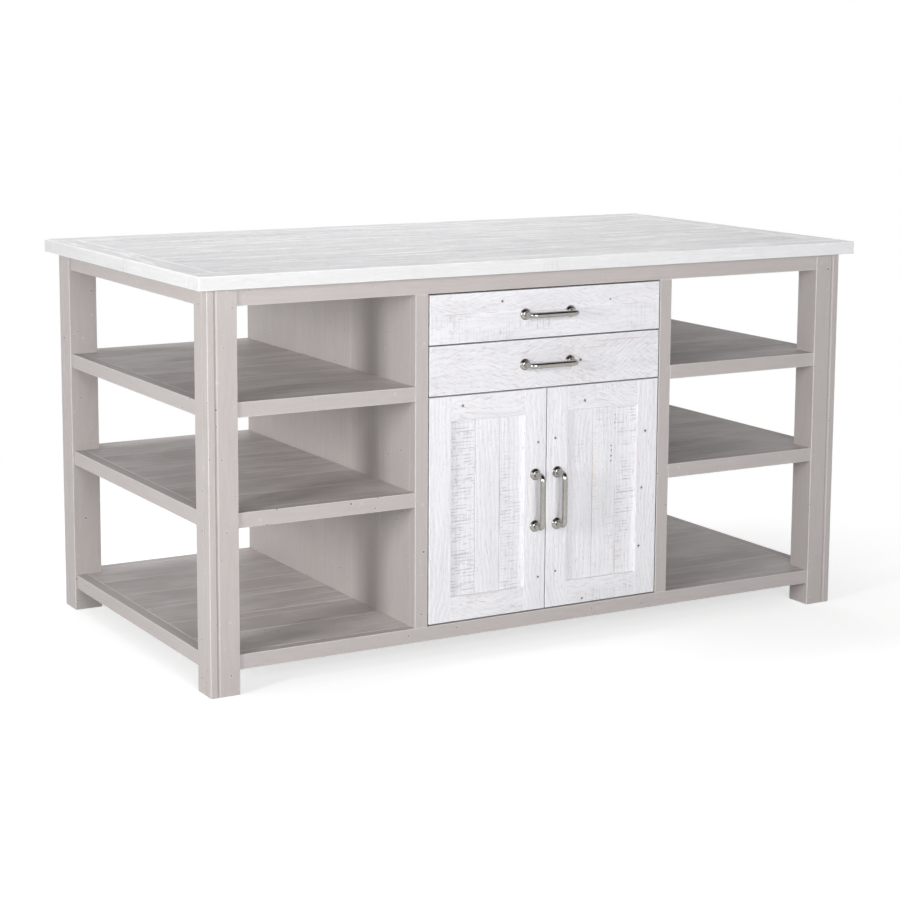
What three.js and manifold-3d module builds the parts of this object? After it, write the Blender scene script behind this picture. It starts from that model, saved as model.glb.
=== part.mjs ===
// Kitchen island with open shelf bays at both ends and a cabinet of two drawers and two doors
// in the middle. Millimetres, +Z up, +X to the right as seen from the front, -Y towards the front.
// The origin lies on the floor, at the centre of the island's overall length and depth.

import * as THREE from "three";
import { mergeVertices } from "three/addons/utils/BufferGeometryUtils.js";
import Module from "manifold-3d";

// ---- Driving dimensions -------------------------------------------------------------------

// Overall and worktop
const LENGTH = 1720;
const DEPTH = 932;
const HEIGHT = 900;
const TOP_THICKNESS = 30;
const TOP_BORDER_WIDTH = 62;
const TOP_PLANKS = 6;
const END_OVERHANG = 27;
const SIDE_OVERHANG = 23;

// Frame
const LEG_SIDE = 68;
const LEG_GROOVE_WIDTH = 7;
const LEG_GROOVE_DEPTH = 3.5;
const LEG_GROOVE_FROM_CORNER_X = 19;
const LEG_GROOVE_FROM_CORNER_Y = 26;
const RAIL_SETBACK = 4;
const RAIL_THICKNESS = 26;
const TOP_RAIL_HEIGHT = 38;
const BOTTOM_RAIL_LIFT = 54;
const EDGE_HEIGHT = 33;

// Shelves and floor
const UPPER_SHELF_TOP = 630;
const LOWER_SHELF_TOP = 394;
const SHELF_BOARD_THICKNESS = 20;
const SHELF_PLANKS = 6;
const FLOOR_THICKNESS = 20;
const SEAM_WIDTH = 3;
const SEAM_DEPTH = 1.5;

// Cabinet
const OPENING_WIDTH = 616;
const POST_WIDTH = 32;
const PARTITION_THICKNESS = 18;
const BACK_THICKNESS = 12;
const BACK_INSET = 4;
const BACK_PLANKS = 6;
const DIVIDER_THICKNESS = 15;
const DIVIDER_DROP = 2;
const CUPBOARD_SHELF_TOP = 330;
const CUPBOARD_SHELF_THICKNESS = 18;
const CUPBOARD_SHELF_SETBACK = 30;

// Drawer fronts and doors
const FRONT_THICKNESS = 20;
const FRONT_SIDE_GAP = 3;
const FRONT_LEVEL_GAP = 3.5;
const DOOR_CENTRE_GAP = 3;
const DRAWER_FRONT_HEIGHT = 110;
const DRAWER_SEAM_FROM_TOP = 46;
const STILE_WIDTH = 56;
const DOOR_PANEL_RECESS = 7;
const DOOR_PANEL_PLANKS = 3;
const DOOR_REBATE = 8;

// Drawer boxes and their runners
const DRAWER_LENGTH = 450;
const DRAWER_SIDE_HEIGHT = 80;
const DRAWER_SIDE_LIFT = 13.5;
const DRAWER_SIDE_THICKNESS = 15;
const DRAWER_BACK_THICKNESS = 15;
const DRAWER_BOTTOM_THICKNESS = 6;
const DRAWER_BOTTOM_SEAT = 7;
const RUNNER_LENGTH = 470;
const RUNNER_HEIGHT = 14;
const RUNNER_BITE = 7;
const RUNNER_CLEARANCE = 0.4;

// Handles
const HANDLE_CENTRES = 120;
const HANDLE_BAR_RADIUS = 6.3;
const HANDLE_REACH = 34;
const HANDLE_BEND_RADIUS = 12;
const ROSE_RADIUS = 13.5;
const ROSE_RIM = 2.5;
const ROSE_NECK_RADIUS = 8;
const ROSE_HEIGHT = 8;

// Concealed hinges
const HINGE_FROM_DOOR_END = 90;
const CUP_RADIUS = 17.5;
const CUP_DEPTH = 11.5;
const CUP_WALL = 2;
const CUP_FLANGE = 2.5;
const CUP_FLANGE_THICKNESS = 1.2;
const CUP_FROM_DOOR_EDGE = 21.5;
const HINGE_ARM_WIDTH = 14;
const HINGE_ARM_THICKNESS = 9;
const HINGE_ARM_LENGTH = 52;
const HINGE_NOSE_LENGTH = 14;
const HINGE_NOSE_WIDTH = 28;
const HINGE_PLATE_HEIGHT = 46;
const HINGE_PLATE_LENGTH = 24;
const HINGE_PLATE_THICKNESS = 4;

// Fit between a piece and the notch or bore that takes it
const FIT = 0.3;

// Straight steps that stand for the curves
const BAR_STEPS = 32;
const BAR_QUARTER_STEPS = 6;
const BEND_STEPS = 5;
const ROSE_STEPS = 20;
const CUP_STEPS = 24;

// ---- Places worked out from the dimensions ------------------------------------------------

const topUnderside = HEIGHT - TOP_THICKNESS;
const topHalfX = LENGTH / 2;
const topHalfY = DEPTH / 2;

const legOuterX = topHalfX - END_OVERHANG;
const legOuterY = topHalfY - SIDE_OVERHANG;
const legInnerX = legOuterX - LEG_SIDE;
const legInnerY = legOuterY - LEG_SIDE;

const railOuterX = legOuterX - RAIL_SETBACK;
const railOuterY = legOuterY - RAIL_SETBACK;
const railInnerX = railOuterX - RAIL_THICKNESS;
const railInnerY = railOuterY - RAIL_THICKNESS;
const topRailBottom = topUnderside - TOP_RAIL_HEIGHT;
const floorTop = BOTTOM_RAIL_LIFT + EDGE_HEIGHT;

const openingHalf = OPENING_WIDTH / 2;
const postOuterX = openingHalf + POST_WIDTH;
const partitionInnerX = postOuterX - PARTITION_THICKNESS;
const backOuterY = railOuterY - BACK_INSET;
const backInnerY = backOuterY - BACK_THICKNESS;

const frontFaceY = -railOuterY;
const frontBackY = frontFaceY + FRONT_THICKNESS;
const postBackY = -railInnerY;
const frontHalfWidth = openingHalf - FRONT_SIDE_GAP;

const upperDrawerBottom = topRailBottom - FRONT_LEVEL_GAP - DRAWER_FRONT_HEIGHT;
const lowerDrawerBottom = upperDrawerBottom - FRONT_LEVEL_GAP - DRAWER_FRONT_HEIGHT;
const doorTop = lowerDrawerBottom - FRONT_LEVEL_GAP;
const doorBottom = floorTop + FRONT_LEVEL_GAP;
const dividerTop = lowerDrawerBottom - DIVIDER_DROP;
const dividerBottom = dividerTop - DIVIDER_THICKNESS;

const sides = [
  ["left", -1],
  ["right", 1],
];
const ends = [
  ["front", -1],
  ["back", 1],
];

// The handles stand further forward than the worktop, so the middle of the depth lies a little
// in front of the frame's own middle.
const handleFrontY = frontFaceY - HANDLE_REACH - HANDLE_BAR_RADIUS;
const middleOfDepth = (Math.min(handleFrontY, -topHalfY) + topHalfY) / 2;

// ---- Materials ----------------------------------------------------------------------------

const paintedTaupe = new THREE.MeshStandardMaterial({ color: 0xb5aaa5, roughness: 0.55, metalness: 0 });
const whitewashedPine = new THREE.MeshStandardMaterial({ color: 0xe6e6ea, roughness: 0.7, metalness: 0 });
const barePine = new THREE.MeshStandardMaterial({ color: 0xd9c09a, roughness: 0.65, metalness: 0 });
const brushedNickel = new THREE.MeshStandardMaterial({ color: 0x8f8a84, roughness: 0.3, metalness: 1 });
const hingeSteel = new THREE.MeshStandardMaterial({ color: 0xb9bbbd, roughness: 0.35, metalness: 1 });

// ---- Shape helpers ------------------------------------------------------------------------

const wasm = await Module();
wasm.setup();

// A closed manifold solid with the shape of a closed geometry.
function solidOf(geometry) {
  const bare = geometry.clone();
  bare.deleteAttribute("normal");
  bare.deleteAttribute("uv");
  const merged = mergeVertices(bare, 1e-4);
  return new wasm.Manifold(
    new wasm.Mesh({
      numProp: 3,
      vertProperties: Float32Array.from(merged.attributes.position.array),
      triVerts: Uint32Array.from(merged.index.array),
    }),
  );
}

function geometryOf(solid) {
  const mesh = solid.getMesh();
  const geometry = new THREE.BufferGeometry();
  geometry.setAttribute("position", new THREE.BufferAttribute(mesh.vertProperties, 3));
  geometry.setIndex(new THREE.BufferAttribute(mesh.triVerts, 1));
  geometry.computeVertexNormals();
  return geometry;
}

function named(name, geometry, material) {
  const mesh = new THREE.Mesh(geometry, material);
  mesh.name = name;
  return mesh;
}

// The two ends of a span that lies on one side of the middle, lower one first.
function span(sign, near, far) {
  return sign < 0 ? [-far, -near] : [near, far];
}

// A rectangular piece between two values on each axis.
function blockGeometry([x0, x1], [y0, y1], [z0, z1]) {
  const geometry = new THREE.BoxGeometry(x1 - x0, y1 - y0, z1 - z0);
  geometry.translate((x0 + x1) / 2, (y0 + y1) / 2, (z0 + z1) / 2);
  return geometry;
}

// A board is a rectangular piece whose mesh sits at its own centre.
function board(name, material, [x0, x1], [y0, y1], [z0, z1]) {
  const mesh = named(name, new THREE.BoxGeometry(x1 - x0, y1 - y0, z1 - z0), material);
  mesh.position.set((x0 + x1) / 2, (y0 + y1) / 2, (z0 + z1) / 2);
  return mesh;
}

function shapeFrom(points) {
  return new THREE.Shape(points.map(([u, v]) => new THREE.Vector2(u, v)));
}

// An outline in (y, z) drawn out along X.
function alongX(outline, [x0, x1]) {
  const geometry = new THREE.ExtrudeGeometry(shapeFrom(outline), { depth: x1 - x0, bevelEnabled: false });
  geometry.applyMatrix4(new THREE.Matrix4().set(0, 0, 1, x0, 1, 0, 0, 0, 0, 1, 0, 0, 0, 0, 0, 1));
  return geometry;
}

// An outline in (z, x) drawn out along Y.
function alongY(outline, [y0, y1]) {
  const geometry = new THREE.ExtrudeGeometry(shapeFrom(outline), { depth: y1 - y0, bevelEnabled: false });
  geometry.applyMatrix4(new THREE.Matrix4().set(0, 1, 0, 0, 0, 0, 1, y0, 1, 0, 0, 0, 0, 0, 0, 1));
  return geometry;
}

// An outline in (x, y) drawn out along Z.
function alongZ(outline, [z0, z1]) {
  const geometry = new THREE.ExtrudeGeometry(shapeFrom(outline), { depth: z1 - z0, bevelEnabled: false });
  geometry.translate(0, 0, z0);
  return geometry;
}

// The places of the seams that part a width into equal planks.
function seamPlaces(from, to, planks) {
  const places = [];
  for (let i = 1; i < planks; i += 1) {
    places.push(from + ((to - from) * i) / planks);
  }
  return places;
}

// The points of a face at height v, from u0 to u1, with a V groove cut down into it at each seam.
// into is +1 or -1: the way from the face into the wood.
function seamedFace(u0, u1, v, seams, into) {
  const points = [[u0, v]];
  const ordered = u1 > u0 ? seams : [...seams].reverse();
  const step = Math.sign(u1 - u0) * (SEAM_WIDTH / 2);
  for (const seam of ordered) {
    points.push([seam - step, v]);
    points.push([seam, v + into * SEAM_DEPTH]);
    points.push([seam + step, v]);
  }
  points.push([u1, v]);
  return points;
}

// ---- Worktop ------------------------------------------------------------------------------

const island = new THREE.Group();
const frame = new THREE.Group();
frame.position.y = -middleOfDepth;
island.add(frame);

const fieldHalfX = topHalfX - TOP_BORDER_WIDTH;
const fieldHalfY = topHalfY - TOP_BORDER_WIDTH;
const halfSeam = SEAM_WIDTH / 2;

function addWorktop() {
  // The long boards run the whole length, and their inner top edges are eased into half a seam.
  for (const [name, sign] of ends) {
    const outline = [
      [sign * fieldHalfY, topUnderside],
      [sign * topHalfY, topUnderside],
      [sign * topHalfY, HEIGHT],
      [sign * (fieldHalfY + halfSeam), HEIGHT],
      [sign * fieldHalfY, HEIGHT - SEAM_DEPTH],
    ];
    frame.add(named(`top_${name}_board`, alongX(outline, [-topHalfX, topHalfX]), whitewashedPine));
  }
  // The short boards close the ends of the planks, between the long boards.
  for (const [name, sign] of sides) {
    const outline = [
      [topUnderside, sign * fieldHalfX],
      [topUnderside, sign * topHalfX],
      [HEIGHT, sign * topHalfX],
      [HEIGHT, sign * (fieldHalfX + halfSeam)],
      [HEIGHT - SEAM_DEPTH, sign * fieldHalfX],
    ];
    frame.add(named(`top_${name}_end_board`, alongY(outline, [-fieldHalfY, fieldHalfY]), whitewashedPine));
  }
  // The field is glued up from planks that lie lengthwise.
  const seams = seamPlaces(-fieldHalfY, fieldHalfY, TOP_PLANKS);
  const field = [
    [-fieldHalfY, topUnderside],
    [fieldHalfY, topUnderside],
    [fieldHalfY, HEIGHT - SEAM_DEPTH],
    ...seamedFace(fieldHalfY - halfSeam, -fieldHalfY + halfSeam, HEIGHT, seams, -1),
    [-fieldHalfY, HEIGHT - SEAM_DEPTH],
  ];
  frame.add(named("top_plank_field", alongX(field, [-fieldHalfX, fieldHalfX]), whitewashedPine));
}

// ---- Legs and rails -----------------------------------------------------------------------

// A square leg with one V groove in each of its two outer faces.
function addLegs() {
  const reach = LEG_GROOVE_WIDTH / 2;
  const fromCorner = [
    [0, 0],
    [LEG_GROOVE_FROM_CORNER_X - reach, 0],
    [LEG_GROOVE_FROM_CORNER_X, LEG_GROOVE_DEPTH],
    [LEG_GROOVE_FROM_CORNER_X + reach, 0],
    [LEG_SIDE, 0],
    [LEG_SIDE, LEG_SIDE],
    [0, LEG_SIDE],
    [0, LEG_GROOVE_FROM_CORNER_Y + reach],
    [LEG_GROOVE_DEPTH, LEG_GROOVE_FROM_CORNER_Y],
    [0, LEG_GROOVE_FROM_CORNER_Y - reach],
  ];
  for (const [end, endSign] of ends) {
    for (const [side, sideSign] of sides) {
      const outline = fromCorner.map(([a, b]) => [sideSign * (legOuterX - a), endSign * (legOuterY - b)]);
      frame.add(named(`leg_${end}_${side}`, alongZ(outline, [0, topUnderside]), paintedTaupe));
    }
  }
}

// Rails butt between the legs, set back a little from the legs' outer faces.
function addRails(level, [z0, z1]) {
  for (const [end, sign] of ends) {
    const y = span(sign, railInnerY, railOuterY);
    frame.add(board(`${level}_rail_${end}`, paintedTaupe, [-legInnerX, legInnerX], y, [z0, z1]));
  }
  for (const [side, sign] of sides) {
    const x = span(sign, railInnerX, railOuterX);
    frame.add(board(`${level}_rail_${side}`, paintedTaupe, x, [-legInnerY, legInnerY], [z0, z1]));
  }
}

// ---- Floor and shelves --------------------------------------------------------------------

// The block that a leg takes out of a shelf's or the floor's corner.
function legNotch(sideSign, endSign, z) {
  const x = span(sideSign, legInnerX - FIT, legOuterX + LEG_SIDE);
  const y = span(endSign, legInnerY - FIT, legOuterY + LEG_SIDE);
  return solidOf(blockGeometry(x, y, [z[0] - EDGE_HEIGHT, z[1] + EDGE_HEIGHT]));
}

// One planked floor runs through under both bays and the cabinet, inside the bottom rails.
function addFloor() {
  const z0 = floorTop - FLOOR_THICKNESS;
  const seams = seamPlaces(-railInnerY, railInnerY, SHELF_PLANKS);
  const outline = [
    [-railInnerY, z0],
    [railInnerY, z0],
    ...seamedFace(railInnerY, -railInnerY, floorTop, seams, -1),
  ];
  let floor = solidOf(alongX(outline, [-railInnerX, railInnerX]));
  for (const [, endSign] of ends) {
    for (const [, sideSign] of sides) {
      floor = floor.subtract(legNotch(sideSign, endSign, [z0, floorTop]));
    }
  }
  frame.add(named("floor_panel", geometryOf(floor), paintedTaupe));
}

// A shelf is a planked board with a deeper lipping glued on at its front, its back and its end.
function addShelf(side, sign, level, top) {
  const edgeBottom = top - EDGE_HEIGHT;
  const boardBottom = top - SHELF_BOARD_THICKNESS;
  const seams = [-railInnerY, ...seamPlaces(-railInnerY, railInnerY, SHELF_PLANKS), railInnerY];
  const outline = [
    [-railOuterY, edgeBottom],
    [-railInnerY, edgeBottom],
    [-railInnerY, boardBottom],
    [railInnerY, boardBottom],
    [railInnerY, edgeBottom],
    [railOuterY, edgeBottom],
    ...seamedFace(railOuterY, -railOuterY, top, seams, -1),
  ];
  let shelf = solidOf(alongX(outline, span(sign, postOuterX, railOuterX)));
  const endLipping = blockGeometry(
    span(sign, railInnerX, railOuterX),
    [-legInnerY, legInnerY],
    [edgeBottom, top - SEAM_DEPTH],
  );
  shelf = shelf.add(solidOf(endLipping));
  const endSeam = [
    [top - SEAM_DEPTH, sign * railInnerX],
    [top + SEAM_DEPTH, sign * (railInnerX - SEAM_WIDTH)],
    [top + SEAM_DEPTH, sign * (railInnerX + SEAM_WIDTH)],
  ];
  shelf = shelf.subtract(solidOf(alongY(endSeam, [-legOuterY, legOuterY])));
  for (const [, endSign] of ends) {
    shelf = shelf.subtract(legNotch(sign, endSign, [edgeBottom, top]));
  }
  frame.add(named(`shelf_${side}_${level}`, geometryOf(shelf), paintedTaupe));
}

// ---- Cabinet ------------------------------------------------------------------------------

function addCabinet() {
  const partitionOutline = [
    [postBackY, floorTop],
    [railOuterY, floorTop],
    [railOuterY, topRailBottom],
    [railInnerY, topRailBottom],
    [railInnerY, topUnderside],
    [postBackY, topUnderside],
  ];
  for (const [side, sign] of sides) {
    const postX = span(sign, openingHalf, postOuterX);
    frame.add(board(`post_${side}`, paintedTaupe, postX, [frontFaceY, postBackY], [floorTop, topRailBottom]));
    const partition = alongX(partitionOutline, span(sign, partitionInnerX, postOuterX));
    frame.add(named(`partition_${side}`, partition, paintedTaupe));
  }
  const width = [-partitionInnerX, partitionInnerX];
  // The back is a panel of upright planks between the partitions, under the top rail.
  const backOutline = [
    [-partitionInnerX, backInnerY],
    [partitionInnerX, backInnerY],
    ...seamedFace(
      partitionInnerX,
      -partitionInnerX,
      backOuterY,
      seamPlaces(-partitionInnerX, partitionInnerX, BACK_PLANKS),
      -1,
    ),
  ];
  frame.add(named("cabinet_back", alongZ(backOutline, [floorTop, topRailBottom]), paintedTaupe));
  frame.add(board("drawer_divider", barePine, width, [postBackY, backInnerY], [dividerBottom, dividerTop]));
  const shelfBottom = CUPBOARD_SHELF_TOP - CUPBOARD_SHELF_THICKNESS;
  const shelfFront = postBackY + CUPBOARD_SHELF_SETBACK;
  frame.add(
    board("cupboard_shelf", barePine, width, [shelfFront, backInnerY], [shelfBottom, CUPBOARD_SHELF_TOP]),
  );
}

// ---- Handles ------------------------------------------------------------------------------

// A round bar bent back into a round rose at each end. It lies along X, its roses' flat backs
// on y = 0 and its bar towards -Y.
function handleGeometry() {
  const half = HANDLE_CENTRES / 2;
  const bendStart = HANDLE_REACH - HANDLE_BEND_RADIUS;
  const straightHalf = half - HANDLE_BEND_RADIUS;
  const path = new THREE.CurvePath();
  const point = (x, y) => new THREE.Vector3(x, y, 0);
  const rootY = -ROSE_RIM;
  const bend = (x, y, fromAngle, toAngle) => {
    const arc = new THREE.EllipseCurve(x, y, HANDLE_BEND_RADIUS, HANDLE_BEND_RADIUS, fromAngle, toAngle, false);
    const points = arc.getPoints(BEND_STEPS).map((p) => point(p.x, p.y));
    for (let i = 1; i < points.length; i += 1) {
      path.add(new THREE.LineCurve3(points[i - 1], points[i]));
    }
  };
  path.add(new THREE.LineCurve3(point(-half, rootY), point(-half, -bendStart)));
  bend(-straightHalf, -bendStart, Math.PI, 1.5 * Math.PI);
  path.add(new THREE.LineCurve3(point(-straightHalf, -HANDLE_REACH), point(straightHalf, -HANDLE_REACH)));
  bend(straightHalf, -bendStart, 1.5 * Math.PI, 2 * Math.PI);
  path.add(new THREE.LineCurve3(point(half, -bendStart), point(half, rootY)));

  const section = new THREE.Shape();
  section.absarc(0, 0, HANDLE_BAR_RADIUS, 0, 2 * Math.PI, false);
  const bar = new THREE.ExtrudeGeometry(section, {
    steps: BAR_STEPS,
    curveSegments: BAR_QUARTER_STEPS,
    extrudePath: path,
  });
  let handle = solidOf(bar);
  const roseProfile = [
    [0, -ROSE_HEIGHT],
    [ROSE_NECK_RADIUS, -ROSE_HEIGHT],
    [ROSE_RADIUS - ROSE_RIM, -ROSE_RIM - ROSE_RIM / 2],
    [ROSE_RADIUS, -ROSE_RIM],
    [ROSE_RADIUS, 0],
    [0, 0],
  ];
  for (const x of [-half, half]) {
    const rose = new THREE.LatheGeometry(
      roseProfile.map(([r, y]) => new THREE.Vector2(r, y)),
      ROSE_STEPS,
    );
    rose.translate(x, 0, 0);
    handle = handle.add(solidOf(rose));
  }
  return geometryOf(handle);
}

// ---- Drawers ------------------------------------------------------------------------------

const drawerSideX = frontHalfWidth;
const drawerInnerX = drawerSideX - DRAWER_SIDE_THICKNESS;
const drawerBackY = frontBackY + DRAWER_LENGTH;
const runnerTipX = drawerSideX - RUNNER_BITE;

// A drawer is a slab front on a box of two grooved sides, a back and a bottom let into a rebate.
function addDrawer(level, bottom, seam) {
  const top = bottom + DRAWER_FRONT_HEIGHT;
  const face = [
    [frontBackY, bottom],
    [frontBackY, top],
    [frontFaceY, top],
  ];
  if (seam) {
    const z = top - DRAWER_SEAM_FROM_TOP;
    face.push([frontFaceY, z + halfSeam], [frontFaceY + SEAM_DEPTH, z], [frontFaceY, z - halfSeam]);
  }
  face.push([frontFaceY, bottom]);
  frame.add(named(`drawer_${level}_front`, alongX(face, [-frontHalfWidth, frontHalfWidth]), whitewashedPine));

  const boxBottom = bottom + DRAWER_SIDE_LIFT;
  const boxTop = boxBottom + DRAWER_SIDE_HEIGHT;
  const runnerZ = (boxBottom + boxTop) / 2;
  const grooveHalf = RUNNER_HEIGHT / 2 + RUNNER_CLEARANCE;
  const grooveX = runnerTipX - RUNNER_CLEARANCE;
  const rebateTop = boxBottom + DRAWER_BOTTOM_THICKNESS + FIT;
  const rebateX = drawerInnerX + DRAWER_BOTTOM_SEAT;
  for (const [side, sign] of sides) {
    const outline = [
      [boxBottom, sign * drawerSideX],
      [runnerZ - grooveHalf, sign * drawerSideX],
      [runnerZ - grooveHalf, sign * grooveX],
      [runnerZ + grooveHalf, sign * grooveX],
      [runnerZ + grooveHalf, sign * drawerSideX],
      [boxTop, sign * drawerSideX],
      [boxTop, sign * drawerInnerX],
      [rebateTop, sign * drawerInnerX],
      [rebateTop, sign * rebateX],
      [boxBottom, sign * rebateX],
    ];
    frame.add(named(`drawer_${level}_side_${side}`, alongY(outline, [frontBackY, drawerBackY]), barePine));
    const runnerX = span(sign, runnerTipX, partitionInnerX);
    const runnerSpan = [runnerZ - RUNNER_HEIGHT / 2, runnerZ + RUNNER_HEIGHT / 2];
    const runnerY = [postBackY, postBackY + RUNNER_LENGTH];
    frame.add(board(`runner_${level}_${side}`, barePine, runnerX, runnerY, runnerSpan));
  }
  frame.add(
    board(
      `drawer_${level}_back`,
      barePine,
      [-drawerInnerX, drawerInnerX],
      [drawerBackY - DRAWER_BACK_THICKNESS, drawerBackY],
      [rebateTop, boxTop],
    ),
  );
  frame.add(
    board(
      `drawer_${level}_bottom`,
      barePine,
      [-rebateX + FIT, rebateX - FIT],
      [frontBackY, drawerBackY],
      [boxBottom, boxBottom + DRAWER_BOTTOM_THICKNESS],
    ),
  );
  const handle = named(`drawer_${level}_handle`, handleGeometry(), brushedNickel);
  handle.position.set(0, frontFaceY, (bottom + top) / 2);
  frame.add(handle);
}

// ---- Doors and hinges ---------------------------------------------------------------------

const hingeHeights = [
  ["lower", doorBottom + HINGE_FROM_DOOR_END],
  ["upper", doorTop - HINGE_FROM_DOOR_END],
];

// The steel cup pressed into the back of the door, open towards the cabinet.
function hingeCupGeometry() {
  const bore = CUP_RADIUS - CUP_WALL;
  const profile = [
    [0, -CUP_DEPTH],
    [CUP_RADIUS, -CUP_DEPTH],
    [CUP_RADIUS, 0],
    [CUP_RADIUS + CUP_FLANGE, 0],
    [CUP_RADIUS + CUP_FLANGE, CUP_FLANGE_THICKNESS],
    [bore, CUP_FLANGE_THICKNESS],
    [bore, CUP_WALL - CUP_DEPTH],
    [0, CUP_WALL - CUP_DEPTH],
  ];
  return new THREE.LatheGeometry(
    profile.map(([r, y]) => new THREE.Vector2(r, y)),
    CUP_STEPS,
  );
}

// The cranked arm and its plate on the partition. Its nose lies against the cup's outer rim.
function hingeArmGeometry(sign) {
  const noseOuter = frontHalfWidth - CUP_FROM_DOOR_EDGE + CUP_RADIUS;
  const noseInner = noseOuter - HINGE_NOSE_WIDTH;
  const noseFrontY = frontBackY + CUP_FLANGE_THICKNESS + FIT;
  const noseBackY = noseFrontY + HINGE_NOSE_LENGTH;
  const armInner = partitionInnerX - HINGE_ARM_THICKNESS;
  const crankY = noseBackY + (armInner - noseInner) / 2;
  const armBackY = crankY + HINGE_ARM_LENGTH;
  const outline = [
    [noseInner, noseFrontY],
    [noseOuter, noseFrontY],
    [noseOuter, noseBackY - HINGE_ARM_THICKNESS / 2],
    [partitionInnerX, crankY],
    [partitionInnerX, armBackY],
    [armInner, armBackY],
    [armInner, crankY],
    [noseInner, noseBackY],
  ].map(([x, y]) => [sign * x, y]);
  const halfArm = HINGE_ARM_WIDTH / 2;
  const halfPlate = HINGE_PLATE_HEIGHT / 2;
  const arm = solidOf(alongZ(outline, [-halfArm, halfArm]));
  const plateMiddle = (crankY + armBackY) / 2;
  const plate = blockGeometry(
    span(sign, partitionInnerX - HINGE_PLATE_THICKNESS, partitionInnerX),
    [plateMiddle - HINGE_PLATE_LENGTH / 2, plateMiddle + HINGE_PLATE_LENGTH / 2],
    [-halfPlate, halfPlate],
  );
  return geometryOf(arm.add(solidOf(plate)));
}

// A door is a frame of two stiles and two rails round a recessed panel of upright planks.
function addDoor(side, sign) {
  const x = span(sign, DOOR_CENTRE_GAP / 2, frontHalfWidth);
  const z = [doorBottom, doorTop];
  const holeX = [x[0] + STILE_WIDTH, x[1] - STILE_WIDTH];
  const holeZ = [z[0] + STILE_WIDTH, z[1] - STILE_WIDTH];
  const rebateX = [holeX[0] - DOOR_REBATE, holeX[1] + DOOR_REBATE];
  const rebateZ = [holeZ[0] - DOOR_REBATE, holeZ[1] + DOOR_REBATE];
  const panelFaceY = frontFaceY + DOOR_PANEL_RECESS;
  const through = [frontFaceY - FRONT_THICKNESS, frontBackY + FRONT_THICKNESS];
  const cupX = sign * (frontHalfWidth - CUP_FROM_DOOR_EDGE);

  let doorFrame = solidOf(blockGeometry(x, [frontFaceY, frontBackY], z));
  doorFrame = doorFrame.subtract(solidOf(blockGeometry(holeX, through, holeZ)));
  const rebate = blockGeometry(rebateX, [panelFaceY, frontBackY + FRONT_THICKNESS], rebateZ);
  doorFrame = doorFrame.subtract(solidOf(rebate));
  for (const [, height] of hingeHeights) {
    const boreRadius = CUP_RADIUS + FIT;
    const boreSpan = 2 * (CUP_DEPTH + FIT);
    const bore = new THREE.CylinderGeometry(boreRadius, boreRadius, boreSpan, CUP_STEPS);
    bore.translate(cupX, frontBackY, height);
    doorFrame = doorFrame.subtract(solidOf(bore));
  }
  frame.add(named(`door_${side}_frame`, geometryOf(doorFrame), whitewashedPine));

  const panelX = [rebateX[0] + FIT, rebateX[1] - FIT];
  const seams = seamPlaces(holeX[0], holeX[1], DOOR_PANEL_PLANKS);
  const panelOutline = [
    [panelX[0], frontBackY],
    [panelX[1], frontBackY],
    ...seamedFace(panelX[1], panelX[0], panelFaceY + FIT, seams, 1),
  ];
  const panel = alongZ(panelOutline, [rebateZ[0] + FIT, rebateZ[1] - FIT]);
  frame.add(named(`door_${side}_panel`, panel, whitewashedPine));

  const handle = named(`door_${side}_handle`, handleGeometry(), brushedNickel);
  handle.rotation.y = Math.PI / 2;
  handle.position.set(sign * (DOOR_CENTRE_GAP / 2 + STILE_WIDTH / 2), frontFaceY, (doorBottom + doorTop) / 2);
  frame.add(handle);

  for (const [level, height] of hingeHeights) {
    const cup = named(`hinge_cup_${side}_${level}`, hingeCupGeometry(), hingeSteel);
    cup.position.set(cupX, frontBackY, height);
    frame.add(cup);
    const arm = named(`hinge_arm_${side}_${level}`, hingeArmGeometry(sign), hingeSteel);
    arm.position.set(0, 0, height);
    frame.add(arm);
  }
}

// ---- Assembly -----------------------------------------------------------------------------

addWorktop();
addLegs();
addRails("top", [topRailBottom, topUnderside]);
addRails("bottom", [BOTTOM_RAIL_LIFT, floorTop]);
addFloor();
for (const [side, sign] of sides) {
  addShelf(side, sign, "upper", UPPER_SHELF_TOP);
  addShelf(side, sign, "lower", LOWER_SHELF_TOP);
}
addCabinet();
addDrawer("upper", upperDrawerBottom, true);
addDrawer("lower", lowerDrawerBottom, false);
for (const [side, sign] of sides) {
  addDoor(side, sign);
}

export default island;
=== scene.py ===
import math

import bpy
from mathutils import Matrix, Vector


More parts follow.
